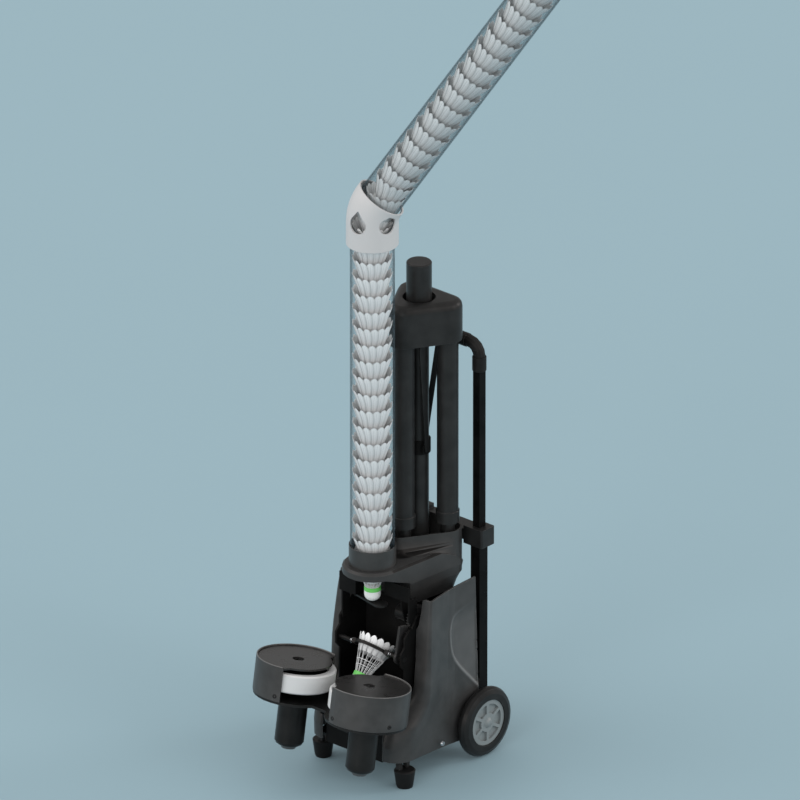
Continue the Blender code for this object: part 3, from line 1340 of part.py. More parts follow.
def stand_on_origin():
    """Moves the machine so that the origin is on the floor under the middle of its box."""
    bpy.context.view_layer.update()
    graph = bpy.context.evaluated_depsgraph_get()
    corners = []
    for obj in PARTS.objects:
        if obj.type == "EMPTY":
            continue
        solid = obj.evaluated_get(graph)
        mesh = solid.to_mesh()
        corners += [obj.matrix_world @ vert.co for vert in mesh.vertices]
        solid.to_mesh_clear()
    middle = [(min(c[i] for c in corners) + max(c[i] for c in corners)) / 2 for i in range(2)]
    floor = min(c.z for c in corners)
    MACHINE.location = (-middle[0], -middle[1], -floor)
    bpy.context.view_layer.update()


build_top_cap()
build_magazine()
build_side_shell("left_side_shell", -1)
build_side_shell("right_side_shell", 1)
build_chassis()
build_gate()
build_cradle()
build_feed_drive()
build_head("left", -1)
build_head("right", 1)
build_head_bracket()
build_running_gear()
build_handle()
build_stand()
stand_on_origin()
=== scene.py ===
import json
import math
import random

import bmesh
import bpy
from mathutils import Matrix, Vector

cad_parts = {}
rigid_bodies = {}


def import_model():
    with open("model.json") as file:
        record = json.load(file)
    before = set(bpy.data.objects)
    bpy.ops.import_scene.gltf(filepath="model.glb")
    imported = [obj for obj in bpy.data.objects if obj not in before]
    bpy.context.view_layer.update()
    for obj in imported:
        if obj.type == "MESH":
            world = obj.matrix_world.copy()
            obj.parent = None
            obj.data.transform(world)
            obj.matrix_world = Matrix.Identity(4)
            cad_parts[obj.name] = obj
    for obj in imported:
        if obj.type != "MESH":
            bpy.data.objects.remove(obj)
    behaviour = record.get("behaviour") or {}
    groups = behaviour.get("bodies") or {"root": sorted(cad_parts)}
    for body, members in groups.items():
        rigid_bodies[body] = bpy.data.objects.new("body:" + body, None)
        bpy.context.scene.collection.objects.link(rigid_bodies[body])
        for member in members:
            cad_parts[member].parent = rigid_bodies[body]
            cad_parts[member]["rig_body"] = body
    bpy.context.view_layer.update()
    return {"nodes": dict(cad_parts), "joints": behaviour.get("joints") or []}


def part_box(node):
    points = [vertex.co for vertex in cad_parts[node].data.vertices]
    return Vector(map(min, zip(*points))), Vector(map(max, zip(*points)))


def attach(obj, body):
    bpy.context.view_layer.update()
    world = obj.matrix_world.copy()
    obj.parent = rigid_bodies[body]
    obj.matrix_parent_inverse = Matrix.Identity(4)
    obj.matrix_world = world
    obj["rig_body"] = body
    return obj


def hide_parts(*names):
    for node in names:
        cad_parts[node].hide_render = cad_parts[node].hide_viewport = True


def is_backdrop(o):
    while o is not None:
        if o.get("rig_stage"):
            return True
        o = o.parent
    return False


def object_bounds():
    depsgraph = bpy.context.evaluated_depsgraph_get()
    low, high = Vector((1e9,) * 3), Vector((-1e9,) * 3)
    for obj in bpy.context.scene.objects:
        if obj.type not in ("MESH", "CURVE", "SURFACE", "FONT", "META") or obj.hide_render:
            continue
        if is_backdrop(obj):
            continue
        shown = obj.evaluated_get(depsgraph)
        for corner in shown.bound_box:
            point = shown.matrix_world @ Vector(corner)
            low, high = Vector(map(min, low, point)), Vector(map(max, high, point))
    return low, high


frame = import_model()

# Chassis: floor pan, inner walls, cavity liner, panels and brackets between the side shells.
# The real ones are matt black ribbed mouldings and bent plate, hidden in shade, screwed together
# from behind.
MATT_BLACK = (0.0022, 0.0022, 0.0022)
PAN_BLACK = (0.0060, 0.0060, 0.0060)
LIGHT_GREY = 0.55
WARM_SHINE = (1.0, 0.92, 0.88, 1.0)
MATT_ROUGHNESS = 0.62
MOTTLE_SIZE = 0.030
MOULD_GRAIN = 0.0007
GRAIN_DEPTH = 0.00003
EDGE_ROUND = 0.0007
# How far a rounded corner must turn from the face before it is painted lighter, as wear and as a painted
# highlight
EDGE_WEAR_AND_HIGHLIGHT = (0.02, 0.30)
# The mix node's colour sockets by number, because its sockets for numbers have the same names
MIX_FACTOR = 0
MIX_FIRST = 6
MIX_SECOND = 7
MIX_COLOR_OUT = 2


class Value:
    """A number, colour or vector that a material works out over the surface, usable in sums."""

    def __init__(self, tree, socket):
        self.tree = tree
        self.socket = socket

    def node(self, kind, settings, inputs, output=0):
        """Adds a node with its settings and its sockets' values or links, and gives one output."""
        made = self.tree.nodes.new(kind)
        for name, choice in settings.items():
            setattr(made, name, choice)
        for name, value in inputs.items():
            if isinstance(value, Value):
                self.tree.links.new(value.socket, made.inputs[name])
            else:
                made.inputs[name].default_value = value
        return Value(self.tree, made.outputs[output])

    def math(self, operation, first, second):
        return self.node("ShaderNodeMath", {"operation": operation}, {0: first, 1: second})

    def __add__(self, other):
        return self.math("ADD", self, other)

    def __radd__(self, other):
        return self.math("ADD", other, self)

    def __sub__(self, other):
        return self.math("SUBTRACT", self, other)

    def __rsub__(self, other):
        return self.math("SUBTRACT", other, self)

    def __mul__(self, other):
        return self.math("MULTIPLY", self, other)

    def __rmul__(self, other):
        return self.math("MULTIPLY", other, self)

    def between(self, low, high):
        """Gives 0 below one level and 1 above another."""
        inputs = {"Value": self, "From Min": low, "From Max": high}
        return self.node("ShaderNodeMapRange", {"clamp": True}, inputs)

    def mix(self, first, second):
        """Goes from one colour to another as this value goes from 0 to 1."""
        inputs = {MIX_FACTOR: self, MIX_FIRST: (*first, 1.0), MIX_SECOND: (*second, 1.0)}
        return self.node("ShaderNodeMix", {"data_type": "RGBA"}, inputs, MIX_COLOR_OUT)


def start_finish(name, **fixed):
    """Starts a material and gives it, its shader and the place on the piece as a value."""
    material = bpy.data.materials.new(name)
    material.use_nodes = True
    tree = material.node_tree
    shader = tree.nodes["Principled BSDF"]
    for socket, value in fixed.items():
        shader.inputs[socket.replace("_", " ")].default_value = value
    place = Value(tree, None).node("ShaderNodeTexCoord", {}, {}, "Object")
    return material, shader, place


def feed(shader, socket, value):
    """Links a worked-out value to one of the shader's sockets."""
    value.tree.links.new(value.socket, shader.inputs[socket])


def speckle(place, size, detail=3.0):
    """Gives soft random patches of about one size, in metres."""
    return place.node("ShaderNodeTexNoise", {}, {"Vector": place, "Scale": 1 / size, "Detail": detail})


def lighter(color, amount):
    """Gives a colour moved towards light grey."""
    return tuple(c + (LIGHT_GREY - c) * amount for c in color)


def moulded(name, color, roughness, grain=MOULD_GRAIN, depth=GRAIN_DEPTH, rounding=EDGE_ROUND, edge_wear_and_highlight=0.14,
            shine=0.5, painted_light_mask=None):
    """Moulded or coated surface: fine grain, faint mottling, and edges painted a little brighter, as
    wear and as a painted highlight.

    The edge argument says how much lighter a rounded edge is painted, as wear and highlight, and the
    mask argument names an attribute of the piece with painted light and shade that lightens or darkens
    parts of it.
    """
    material, shader, place = start_finish(name, Specular_IOR_Level=shine, Specular_Tint=WARM_SHINE)
    mottle = speckle(place, MOTTLE_SIZE)
    fine = speckle(place, grain, 2.0)
    corner = place.node("ShaderNodeBevel", {"samples": 4}, {"Radius": rounding})
    facing = place.node("ShaderNodeNewGeometry", {}, {}, "Normal")
    dot = {"operation": "DOT_PRODUCT"}
    flat = place.node("ShaderNodeVectorMath", dot, {0: corner, 1: facing}, "Value")
    # Rounded edges are painted lighter, as wear and as a painted highlight; the mask adds painted light
    # and shade
    worn_and_lit_edge = (1 - flat).between(*EDGE_WEAR_AND_HIGHLIGHT)
    wear_and_highlight = worn_and_lit_edge * (0.45 + mottle)
    shade = mottle * 0.30 + wear_and_highlight * 0.70
    if painted_light_mask:
        shade = shade + place.node("ShaderNodeAttribute", {"attribute_name": painted_light_mask}, {}, "Fac")
    shade = shade.between(0.0, 1.0)
    feed(shader, "Base Color", shade.mix(color, lighter(color, edge_wear_and_highlight)))
    feed(shader, "Roughness", roughness - 0.07 + mottle * 0.10 + fine * 0.05 - wear_and_highlight * 0.10)
    relief = {"Strength": 0.6, "Distance": depth, "Height": fine, "Normal": corner}
    feed(shader, "Normal", place.node("ShaderNodeBump", {}, relief))
    return material


def coat(material, *nodes):
    """Gives the frame's own nodes a finish."""
    for node in nodes:
        frame["nodes"][node].material_slots[0].material = material


chassis_black = moulded("chassis_black", MATT_BLACK, roughness=MATT_ROUGHNESS, edge_wear_and_highlight=0.05, shine=0.12)
coat(chassis_black, "left_inner_wall", "right_inner_wall", "cavity_liner", "front_lower_panel",
     "rear_cover", "gate_bracket", "feed_bracket", "handle_lower_mount")
pan_coat = moulded("pan_coat", PAN_BLACK, roughness=0.50, grain=0.0012, shine=0.25)
coat(pan_coat, "base_plate", "battery_pack")

# Feed mechanism: the cradle ring on its two pins, its toothed sector, the pinion and the gate.
# The ring is black nylon, the gears dark acetal, the motor and gate black coated steel, and a
# bright domed nut with a washer holds the ring on each pin.
NYLON_BLACK = (0.0030, 0.0030, 0.0030)
ACETAL_BLACK = (0.0160, 0.0160, 0.0165)
COATED_BLACK = (0.0024, 0.0024, 0.0024)
BRIGHT_STEEL = (0.58, 0.59, 0.61)
TOOL_MARKS = 0.0010
SHARP_EDGE = math.radians(23)
FLAT_ENOUGH = math.radians(0.3)
SAME_PLACE = 0.00001
NUT_OUT = 0.0415
NUT_R = 0.0040
WASHER_R = 0.0052
WASHER_THICK = 0.0010
WASHER_SEAT = 0.0028


def joint(name):
    """Gives one of the frame's joints."""
    return next(j for j in frame["joints"] if j["name"] == name)


def fitted(name, shape, body, material, slot, *stands_for):
    """Turns finished modelling into a named piece that rides on its body."""
    mesh = bpy.data.meshes.new(name)
    shape.to_mesh(mesh)
    shape.free()
    mesh.shade_smooth()
    mesh.set_sharp_from_angle(angle=SHARP_EDGE)
    mesh.materials.append(material)
    made = bpy.data.objects.new(name, mesh)
    bpy.context.scene.collection.objects.link(made)
    made.modifiers.new("even_shading", "WEIGHTED_NORMAL").keep_sharp = True
    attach(made, body)
    if stands_for:
        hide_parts(*stands_for)


def welded(node, level=FLAT_ENOUGH):
    """Copies a node's surface with its corners joined, so that round faces can shade smoothly."""
    shape = bmesh.new()
    shape.from_mesh(frame["nodes"][node].data)
    normals = shape.loops.layers.int.get("custom_normal")
    if normals:
        shape.loops.layers.int.remove(normals)
    bmesh.ops.remove_doubles(shape, verts=shape.verts, dist=SAME_PLACE)
    if level:
        bmesh.ops.dissolve_limit(shape, angle_limit=level, verts=shape.verts, edges=shape.edges)
    return shape


def smooth_copy(material, *nodes):
    """Stands a smoothly shaded copy in for each node."""
    for node in nodes:
        body = frame["nodes"][node]["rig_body"]
        fitted(node + "_finished", welded(node), body, material, node, node)


def turned_steel():
    """Bright steel with fine tool marks."""
    material, shader, place = start_finish("turned_steel", Metallic=1.0)
    marks = speckle(place, TOOL_MARKS, 2.0)
    feed(shader, "Base Color", marks.mix(BRIGHT_STEEL, lighter(BRIGHT_STEEL, 0.3)))
    feed(shader, "Roughness", 0.24 + marks * 0.12)
    return material


steel = turned_steel()
gear_acetal = moulded("gear_acetal", ACETAL_BLACK, roughness=0.46, grain=0.0004, shine=0.3)
coat(gear_acetal, "feed_gear", "cradle_sector")
smooth_copy(moulded("cradle_nylon", NYLON_BLACK, roughness=0.40, edge_wear_and_highlight=0.06, shine=0.25), "feed_cradle")
metal_black = moulded("black_coated_steel", COATED_BLACK, roughness=0.30, grain=0.0010, edge_wear_and_highlight=0.12,
                      shine=0.22)
smooth_copy(metal_black, "feed_motor", "release_gate")
pivot = Vector(joint("feed_cradle_tilt")["pos_m"])
across_wall = Matrix.Rotation(math.radians(90), 3, "Y")
nuts = bmesh.new()
for side in (-1, 1):
    dome = bmesh.ops.create_uvsphere(nuts, u_segments=20, v_segments=12, radius=NUT_R)["verts"]
    washer = bmesh.ops.create_cone(nuts, cap_ends=True, segments=24, radius1=WASHER_R, radius2=WASHER_R,
                                   depth=WASHER_THICK)["verts"]
    bmesh.ops.rotate(nuts, verts=washer, cent=(0, 0, 0), matrix=across_wall)
    bmesh.ops.translate(nuts, verts=washer, vec=(-side * WASHER_SEAT, 0, 0))
    bmesh.ops.translate(nuts, verts=dome + washer, vec=(pivot.x + side * NUT_OUT, pivot.y, pivot.z))
fitted("cradle_pin_nuts", nuts, "cradle", steel, "axle")

# Side shells: two large satin dark grey mouldings, each with a long sunk panel behind its middle
# that sweeps down to the wheel. They are screwed to the floor pan low on the side and to the
# walls behind.
SHELL_GREY = (0.0140, 0.0135, 0.0132)
SHELL_ROUGHNESS = 0.40
SUNK_DEPTH = 0.0024
SUNK_EDGE = 0.0030
LIP_RISE = 0.0007
LIP_WIDTH = 0.0080
# Painted highlight: lighter along the sunk panel's lip, and a little lighter over the panel
LIP_HIGHLIGHT_WIDTH = 0.0042
LIP_HIGHLIGHT = 0.75
PANEL_HIGHLIGHT = 0.22
SUNK_STEP = 0.0022
SUNK_FRONT = 0.072
SUNK_REAR = 0.170
SUNK_HEIGHTS = (0.090, 0.276)
# The panel's edge from its top, forward and down to the wheel: distance behind the tube, and height
SUNK_LINE = ((0.170, 0.272), (0.116, 0.262), (0.092, 0.256), (0.084, 0.240), (0.083, 0.216),
             (0.088, 0.190), (0.104, 0.164), (0.150, 0.115), (0.170, 0.095))
SUNK_FADE = (0.268, 0.232)
OUTWARD = 0.5
GRID_TOLERANCE = 0.000001
FOOT_SCREW = (0.0560, 0.0500)
FOOT_SCREW_R = 0.0042
FOOT_FACE_INSET = 0.0066
# A screw head's shape, in shares of its radius
HEAD_HEIGHT = 0.5
CROWN_R = 0.74
RECESS_RIM = 0.34
RECESS_DEPTH = 0.22
tube_low, tube_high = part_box("lower_tube")
AXIS = Vector(((tube_low.x + tube_high.x) / 2, (tube_low.y + tube_high.y) / 2, 0))


def rounded_line(points, passes=2):
    """Cuts the corners of a line again and again, so that it bends smoothly."""
    for _ in range(passes):
        cut = [points[0]]
        for first, second in zip(points, points[1:]):
            cut.append(first.lerp(second, 0.25))
            cut.append(first.lerp(second, 0.75))
        points = cut + [points[-1]]
    return points


def eased(share):
    """Goes from 0 to 1 with both ends level."""
    share = max(0.0, min(1.0, share))
    return share * share * (3 - 2 * share)


def line_reach(point, line):
    """Gives how far a flat point lies behind the line, or in front of it as a negative."""
    nearest = 1.0
    crossings = 0
    for first, second in zip(line, line[1:]):
        along = second - first
        share = max(0.0, min(1.0, (point - first).dot(along) / along.length_squared))
        nearest = min(nearest, (point - first - along * share).length)
        if (first.y > point.y) != (second.y > point.y):
            crossing = first.x + along.x * (point.y - first.y) / along.y
            crossings += crossing < point.x
    return nearest if crossings % 2 else -nearest


def outer_faces(shape, side):
    """Gives the shell's outer faces behind its middle, with their edges and corners."""
    faces = [f for f in shape.faces if f.normal.x * side > OUTWARD
             and max(v.co.y for v in f.verts) > AXIS.y + SUNK_FRONT]
    edges = {e for f in faces for e in f.edges}
    return faces + list(edges) + list({v for f in faces for v in f.verts})


def sink_panel(shape, side):
    """Cuts the shell's outer face into a fine grid behind its middle, sinks the panel into it, and
    paints a highlight along its lip and a fainter one over the panel.
    """
    line = rounded_line([Vector(p) for p in SUNK_LINE])
    upright_cuts = (Vector((0, 1, 0)), AXIS.y + SUNK_FRONT, AXIS.y + SUNK_REAR)
    level_cuts = (Vector((0, 0, 1)), *SUNK_HEIGHTS)
    for normal, low, high in (upright_cuts, level_cuts):
        count = round((high - low) / SUNK_STEP)
        for step in range(count + 1):
            place = normal * (low + (high - low) * step / count)
            bmesh.ops.bisect_plane(shape, geom=outer_faces(shape, side), dist=GRID_TOLERANCE,
                                   plane_co=place, plane_no=normal)
    bmesh.ops.triangulate(shape, faces=[f for f in shape.faces if len(f.verts) > 4])
    shape.normal_update()
    moves = {}
    # Painted highlight along the panel's lip and over the panel, fading out towards the top
    painted_light = shape.verts.layers.float.new("painted_light")
    for vert in shape.verts:
        if all(f.normal.x * side > OUTWARD for f in vert.link_faces):
            reach = line_reach(Vector((vert.co.y - AXIS.y, vert.co.z)), line)
            fade = eased((SUNK_FADE[0] - vert.co.z) / (SUNK_FADE[0] - SUNK_FADE[1]))
            lip = LIP_RISE * eased(1 + reach / LIP_WIDTH) if reach < 0 else LIP_RISE
            moves[vert] = (SUNK_DEPTH + LIP_RISE) * eased(reach / SUNK_EDGE) * fade - lip * fade
            near_line = eased(1 - abs(reach) / LIP_HIGHLIGHT_WIDTH)
            vert[painted_light] = (LIP_HIGHLIGHT * near_line + PANEL_HIGHLIGHT * eased(reach / SUNK_EDGE)) * fade
    for vert, depth in moves.items():
        vert.co.x -= side * depth
    shape.normal_update()


def as_mesh(shape, name):
    """Keeps modelling as a mesh that can be set in many places."""
    mesh = bpy.data.meshes.new(name)
    shape.to_mesh(mesh)
    shape.free()
    return mesh


def set_out(mesh, places):
    """Sets one mesh at each place and joins them."""
    shape = bmesh.new()
    for place in places:
        before = len(shape.verts)
        shape.from_mesh(mesh)
        shape.verts.ensure_lookup_table()
        bmesh.ops.transform(shape, verts=shape.verts[before:], matrix=place)
    return shape


def pan_head():
    """Models a pan-head screw of radius 1 that stands on its face, with a recess in its crown."""
    shape = bmesh.new()
    bmesh.ops.create_cone(shape, cap_ends=True, segments=24, radius1=1.0, radius2=CROWN_R,
                          depth=HEAD_HEIGHT)
    crown = max(shape.faces, key=lambda f: f.calc_center_median().z)
    bmesh.ops.inset_individual(shape, faces=[crown], thickness=RECESS_RIM)
    pit = bmesh.ops.extrude_discrete_faces(shape, faces=[crown])["faces"]
    corners = list({v for f in pit for v in f.verts})
    bmesh.ops.translate(shape, verts=corners, vec=(0, 0, -RECESS_DEPTH))
    return as_mesh(shape, "pan_head")


def seat(place, direction, radius):
    """Gives the place of a screw head of some radius that stands on a face."""
    turn = direction.to_track_quat("Z", "Y").to_matrix().to_4x4()
    rise = Matrix.Translation((0, 0, HEAD_HEIGHT / 2))
    return Matrix.Translation(place) @ turn @ Matrix.Scale(radius, 4) @ rise


screw_head = pan_head()
shell_grey = moulded("shell_grey", SHELL_GREY, roughness=SHELL_ROUGHNESS, rounding=0.0010, edge_wear_and_highlight=0.32,
                     shine=0.46, painted_light_mask="painted_light")
foot_screws = []
for word, side in (("left", -1), ("right", 1)):
    node = word + "_side_shell"
    shell = welded(node, 0.0)
    sink_panel(shell, side)
    fitted(word + "_shell_moulding", shell, "machine", shell_grey, node, node)
    low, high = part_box(node)
    outer_x = high.x if side > 0 else low.x
    spot = Vector((outer_x - side * FOOT_FACE_INSET, AXIS.y + FOOT_SCREW[0], FOOT_SCREW[1]))
    foot_screws.append(seat(spot, Vector((side, 0, 0)), FOOT_SCREW_R))
fitted("shell_screws", set_out(screw_head, foot_screws), "machine", steel, "axle")

# Top cap with its tower: one satin moulding dropped over the shells, with painted light on its rim
# and sides and painted shade on its falling deck, with a plain collar in it that the magazine's lower
# tube stands in.
CAP_GREY = (0.0030, 0.0030, 0.0030)
SOCKET_GREY = (0.0180, 0.0174, 0.0170)
CAP_PAINTED_LIGHT = 0.20
DECK_PAINTED_SHADE = -0.14
DECK_FACING = 0.6
DECK_START = 0.040

cap = welded("top_cap")
cap.normal_update()
# Painted shade on the deck's upward faces behind the tube, painted light on the rest of the cap
painted_light = cap.faces.layers.float.new("painted_light")
for face in cap.faces:
    deck = face.normal.z > DECK_FACING and face.calc_center_median().y > AXIS.y + DECK_START
    face[painted_light] = DECK_PAINTED_SHADE if deck else CAP_PAINTED_LIGHT
cap_grey = moulded("cap_grey", CAP_GREY, roughness=0.40, rounding=0.0010, edge_wear_and_highlight=0.18, shine=0.34,
                   painted_light_mask="painted_light")
fitted("top_cap_moulding", cap, "machine", cap_grey, "top_cap", "top_cap")
smooth_copy(moulded("socket_grey", SOCKET_GREY, roughness=0.36, edge_wear_and_highlight=0.20), "tube_socket")

# Throwing heads: an open drum shroud and lid over each white-tyred wheel, a long black motor
# below, all bolted to one tilted plate. The shroud has two small screw bosses near its lower
# edge, one at the front and one at the outer side.
LID_GREY = (0.0112, 0.0108, 0.0106)
SHROUD_GREY = (0.0155, 0.0149, 0.0146)
# The shroud's rim bead is light grey: a painted highlight along the rim
LIP_HIGHLIGHT_GREY = (0.120, 0.118, 0.116)
TYRE_WHITE = (0.62, 0.62, 0.62)
ZINC_GREY = (0.060, 0.062, 0.064)
HEAD_AXIS = Vector(joint("right_thrower_spin")["axis"]).normalized()
SHROUD_OUTER = 0.066
BOSS_DROP = 0.0470
BOSS_TURNS = (-102, -15)
BOSS_SUNK = 0.0014
BOSS_R = 0.0042
SHROUD_OPEN = 140
LIP_LEVEL = 0.0016
LIP_INSET = 0.0010
LIP_R = 0.0009
LIP_SIDES = 8
LIP_STEPS = 44
LIP_CLEAR = 1
MOTOR_DROP = 0.1385
END_CAP_R = 0.0150

smooth_copy(moulded("lid_grey", LID_GREY, roughness=0.28), "left_lid", "right_lid")
smooth_copy(moulded("shroud_grey", SHROUD_GREY, roughness=SHELL_ROUGHNESS, rounding=0.0009, edge_wear_and_highlight=0.30),
            "left_shroud", "right_shroud")
smooth_copy(metal_black, "left_motor", "right_motor", "head_bracket")
tyre_white = moulded("thrower_tyre_white", TYRE_WHITE, roughness=0.50, grain=0.0009, edge_wear_and_highlight=0.02)
smooth_copy(tyre_white, "left_flywheel_tyre", "right_flywheel_tyre")
smooth_copy(chassis_black, "left_flywheel_hub", "right_flywheel_hub")
across = Vector((1, 0, 0))
ahead = HEAD_AXIS.cross(across)
painted_lip_highlight = moulded("painted_lip_highlight", LIP_HIGHLIGHT_GREY, roughness=0.30, grain=0.0005)
bosses = []
end_caps = []
for word, side in (("left", -1), ("right", 1)):
    centre = Vector(joint(word + "_thrower_spin")["pos_m"])
    end_caps.append(seat(centre - HEAD_AXIS * MOTOR_DROP, -HEAD_AXIS, END_CAP_R))
    for turn in BOSS_TURNS:
        angle = math.radians(turn)
        out = across * side * math.cos(angle) + ahead * math.sin(angle)
        spot = centre - HEAD_AXIS * BOSS_DROP + out * (SHROUD_OUTER - BOSS_SUNK)
        bosses.append(seat(spot, out, BOSS_R))
    # A thin light grey bead round the shroud's rim: a painted highlight
    lip = bmesh.new()
    start = -across * side
    start.rotate(Matrix.Rotation(math.radians(SHROUD_OPEN / 2 + LIP_CLEAR), 3, HEAD_AXIS))
    middle = centre + HEAD_AXIS * LIP_LEVEL
    ring = [lip.verts.new(middle + start * (SHROUD_OUTER - LIP_INSET + LIP_R * math.cos(a))
                          + HEAD_AXIS * LIP_R * math.sin(a))
            for a in (2 * math.pi * i / LIP_SIDES for i in range(LIP_SIDES))]
    face = lip.faces.new(ring)
    bmesh.ops.spin(lip, geom=[face], cent=centre, axis=HEAD_AXIS, dvec=(0, 0, 0), steps=LIP_STEPS,
                   angle=math.radians(360 - SHROUD_OPEN - 2 * LIP_CLEAR))
    bmesh.ops.recalc_face_normals(lip, faces=lip.faces)
    fitted(word + "_shroud_lip", lip, "machine", painted_lip_highlight, word + "_shroud")
fitted("shroud_screws", set_out(screw_head, bosses), "machine", metal_black, "left_motor")
fitted("motor_end_caps", set_out(screw_head, end_caps), "machine",
       moulded("end_cap_zinc", ZINC_GREY, roughness=0.34, grain=0.0008), "left_motor")

# Running gear: grey moulded hubs in black rubber tyres turn on a plain steel axle, and two
# tapered rubber feet stand at the front.
TYRE_BLACK = (0.0026, 0.0028, 0.0030)
FOOT_BLACK = (0.0014, 0.0016, 0.0018)
HUB_GREY = (0.20, 0.225, 0.23)
RUBBER_GRAIN = 0.0012

# The tyre's rounded edges are painted lighter: a painted highlight in place of their reflection
tyre_rubber = moulded("tyre_rubber", TYRE_BLACK, roughness=0.30, grain=RUBBER_GRAIN, depth=0.00004,
                      rounding=0.0012, edge_wear_and_highlight=0.14, shine=0.24)
smooth_copy(tyre_rubber, "left_tyre", "right_tyre")
foot_rubber = moulded("foot_rubber", FOOT_BLACK, roughness=0.42, grain=RUBBER_GRAIN, edge_wear_and_highlight=0.10,
                      shine=0.14)
smooth_copy(foot_rubber, "left_foot", "right_foot")
smooth_copy(moulded("hub_grey", HUB_GREY, roughness=0.36, grain=0.0006), "left_hub", "right_hub")
smooth_copy(steel, "axle")

# Trolley handle: square black anodised tubes that slide in one another, a moulded clamp bar, and
# a soft grip bent over the top, with a short sleeve round the top of each tube.
TUBE_BLACK = (0.0008, 0.0008, 0.0008)
CLAMP_BLACK = (0.0060, 0.0060, 0.0060)
GRIP_BLACK = (0.0022, 0.0022, 0.0022)
ANODISED_GRAIN = 0.0009
SLEEVE_R = 0.0112
SLEEVE_LENGTH = 0.0240
SLEEVE_LAP = 0.0020
SLEEVE_ROUND = 0.0010
RIGHT_ANGLED = 1.0

handle_anodised = moulded("handle_anodised", TUBE_BLACK, roughness=0.28, grain=ANODISED_GRAIN,
                          edge_wear_and_highlight=0.06, shine=0.06)
smooth_copy(handle_anodised, "left_inner_tube", "right_inner_tube")
smooth_copy(handle_anodised, "left_outer_tube", "right_outer_tube")
smooth_copy(moulded("clamp_plastic", CLAMP_BLACK, roughness=0.36, shine=0.3), "handle_clamp_bar")
grip_rubber = moulded("grip_rubber", GRIP_BLACK, roughness=0.50, grain=0.0010, depth=0.00008, shine=0.2)
smooth_copy(grip_rubber, "handle_grip")
sleeves = bmesh.new()
for word in ("left", "right"):
    low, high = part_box(word + "_inner_tube")
    middle = (low + high) / 2
    made = bmesh.ops.create_cone(sleeves, cap_ends=True, segments=32, radius1=SLEEVE_R, radius2=SLEEVE_R,
                                 depth=SLEEVE_LENGTH)
    bmesh.ops.translate(sleeves, verts=made["verts"],
                        vec=(middle.x, middle.y, high.z + SLEEVE_LENGTH / 2 - SLEEVE_LAP))
rims = [e for e in sleeves.edges if abs(e.calc_face_angle(0.0)) > RIGHT_ANGLED]
bmesh.ops.bevel(sleeves, geom=rims, affect="EDGES", offset=SLEEVE_ROUND, segments=2, profile=0.5,
                material=-1)
fitted("grip_sleeves", sleeves, "handle", grip_rubber, "handle_grip")

# Folded stand: a moulded head over three round black legs, with collars where each leg's inner
# tube slides out, a slider and struts round the middle mast.
STAND_HEAD_BLACK = (0.0046, 0.0046, 0.0045)
STAND_LEG_BLACK = (0.0056, 0.0056, 0.0055)

stand_head_black = moulded("stand_head_black", STAND_HEAD_BLACK, roughness=0.36, rounding=0.0012,
                           edge_wear_and_highlight=0.20, shine=0.25)
smooth_copy(stand_head_black, "stand_head")
stand_anodised = moulded("stand_anodised", STAND_LEG_BLACK, roughness=0.34, grain=ANODISED_GRAIN,
                         edge_wear_and_highlight=0.18, shine=0.28)
smooth_copy(stand_anodised, "stand_mast", "stand_front_leg", "stand_left_leg", "stand_right_leg")
smooth_copy(metal_black, "stand_front_strut", "stand_left_strut", "stand_right_strut")
smooth_copy(chassis_black, "stand_slider")

# Magazine tubes: clear extruded polycarbonate, the lower one standing in the socket and the upper
# one with a greyer see-through tint, painted shade. The wall is thin, so it shows mostly as bright
# streaks and darker edges.
EDGE_TINT = (0.045, 0.062, 0.074)
CLEAR_TINT = (1.0, 1.0, 1.0)
# Painted shade: the upper tube's greyer see-through tint
SHADED_TINT = (0.915, 0.925, 0.928)
HAZE_SIZE = 0.020


def clear_wall(name, tint):
    """Thin clear plastic: see-through face on, glossy and darker where the wall is seen edge on."""
    material, shader, place = start_finish(name, Base_Color=(*EDGE_TINT, 1.0), IOR=1.25)
    haze = speckle(place, HAZE_SIZE)
    feed(shader, "Roughness", 0.05 + haze * 0.06)
    tree = place.tree
    edge = place.node("ShaderNodeLayerWeight", {}, {"Blend": 0.5}, "Facing")
    share = 0.02 + edge * edge * edge * edge * 0.95 + haze * 0.02
    see_through = place.node("ShaderNodeBsdfTransparent", {}, {"Color": (*tint, 1.0)})
    wall = Value(tree, shader.outputs[0])
    blended = place.node("ShaderNodeMixShader", {}, {0: share, 1: see_through, 2: wall})
    tree.links.new(blended.socket, tree.nodes["Material Output"].inputs["Surface"])
    return material


smooth_copy(clear_wall("clear_tube", CLEAR_TINT), "lower_tube")
smooth_copy(clear_wall("shaded_tube", SHADED_TINT), "upper_tube")

# Elbow: one injection-moulded collar in off-white plastic, pushed over both tube ends. Five
# drop-shaped windows round its middle show whether a shuttle has stuck in the bend.
ELBOW_WHITE = (0.55, 0.54, 0.54)
ELBOW_MEETING_Z = 0.9525
TILT = math.radians(34.2)
TURN = math.radians(37.2)
ELBOW_R = 0.0410
ELBOW_WALL = 0.0028
ELBOW_LOW_RIM = 0.0565
ELBOW_TOP_RIM = 0.0260
BEND_R = 0.065
BEND_STEPS = 14
COLLAR_SIDES = 72
RIM_ROUND = 0.0007
WINDOWS = 5
FIRST_WINDOW = math.radians(-12)
WINDOW_R = 0.0148
WINDOW_TOP = 0.0230
WINDOW_Z = -0.0122
WINDOW_SIDES = 36
WINDOW_REACH = (ELBOW_R * 0.8, ELBOW_R * 1.3)
INNER_BEND_CUT = 0.013
SHOULDER = math.radians(38)
swivel = Vector(joint("magazine_swivel")["pos_m"])
meeting = Matrix.Translation((swivel.x, swivel.y, ELBOW_MEETING_Z)) @ Matrix.Rotation(TURN, 4, "Z")


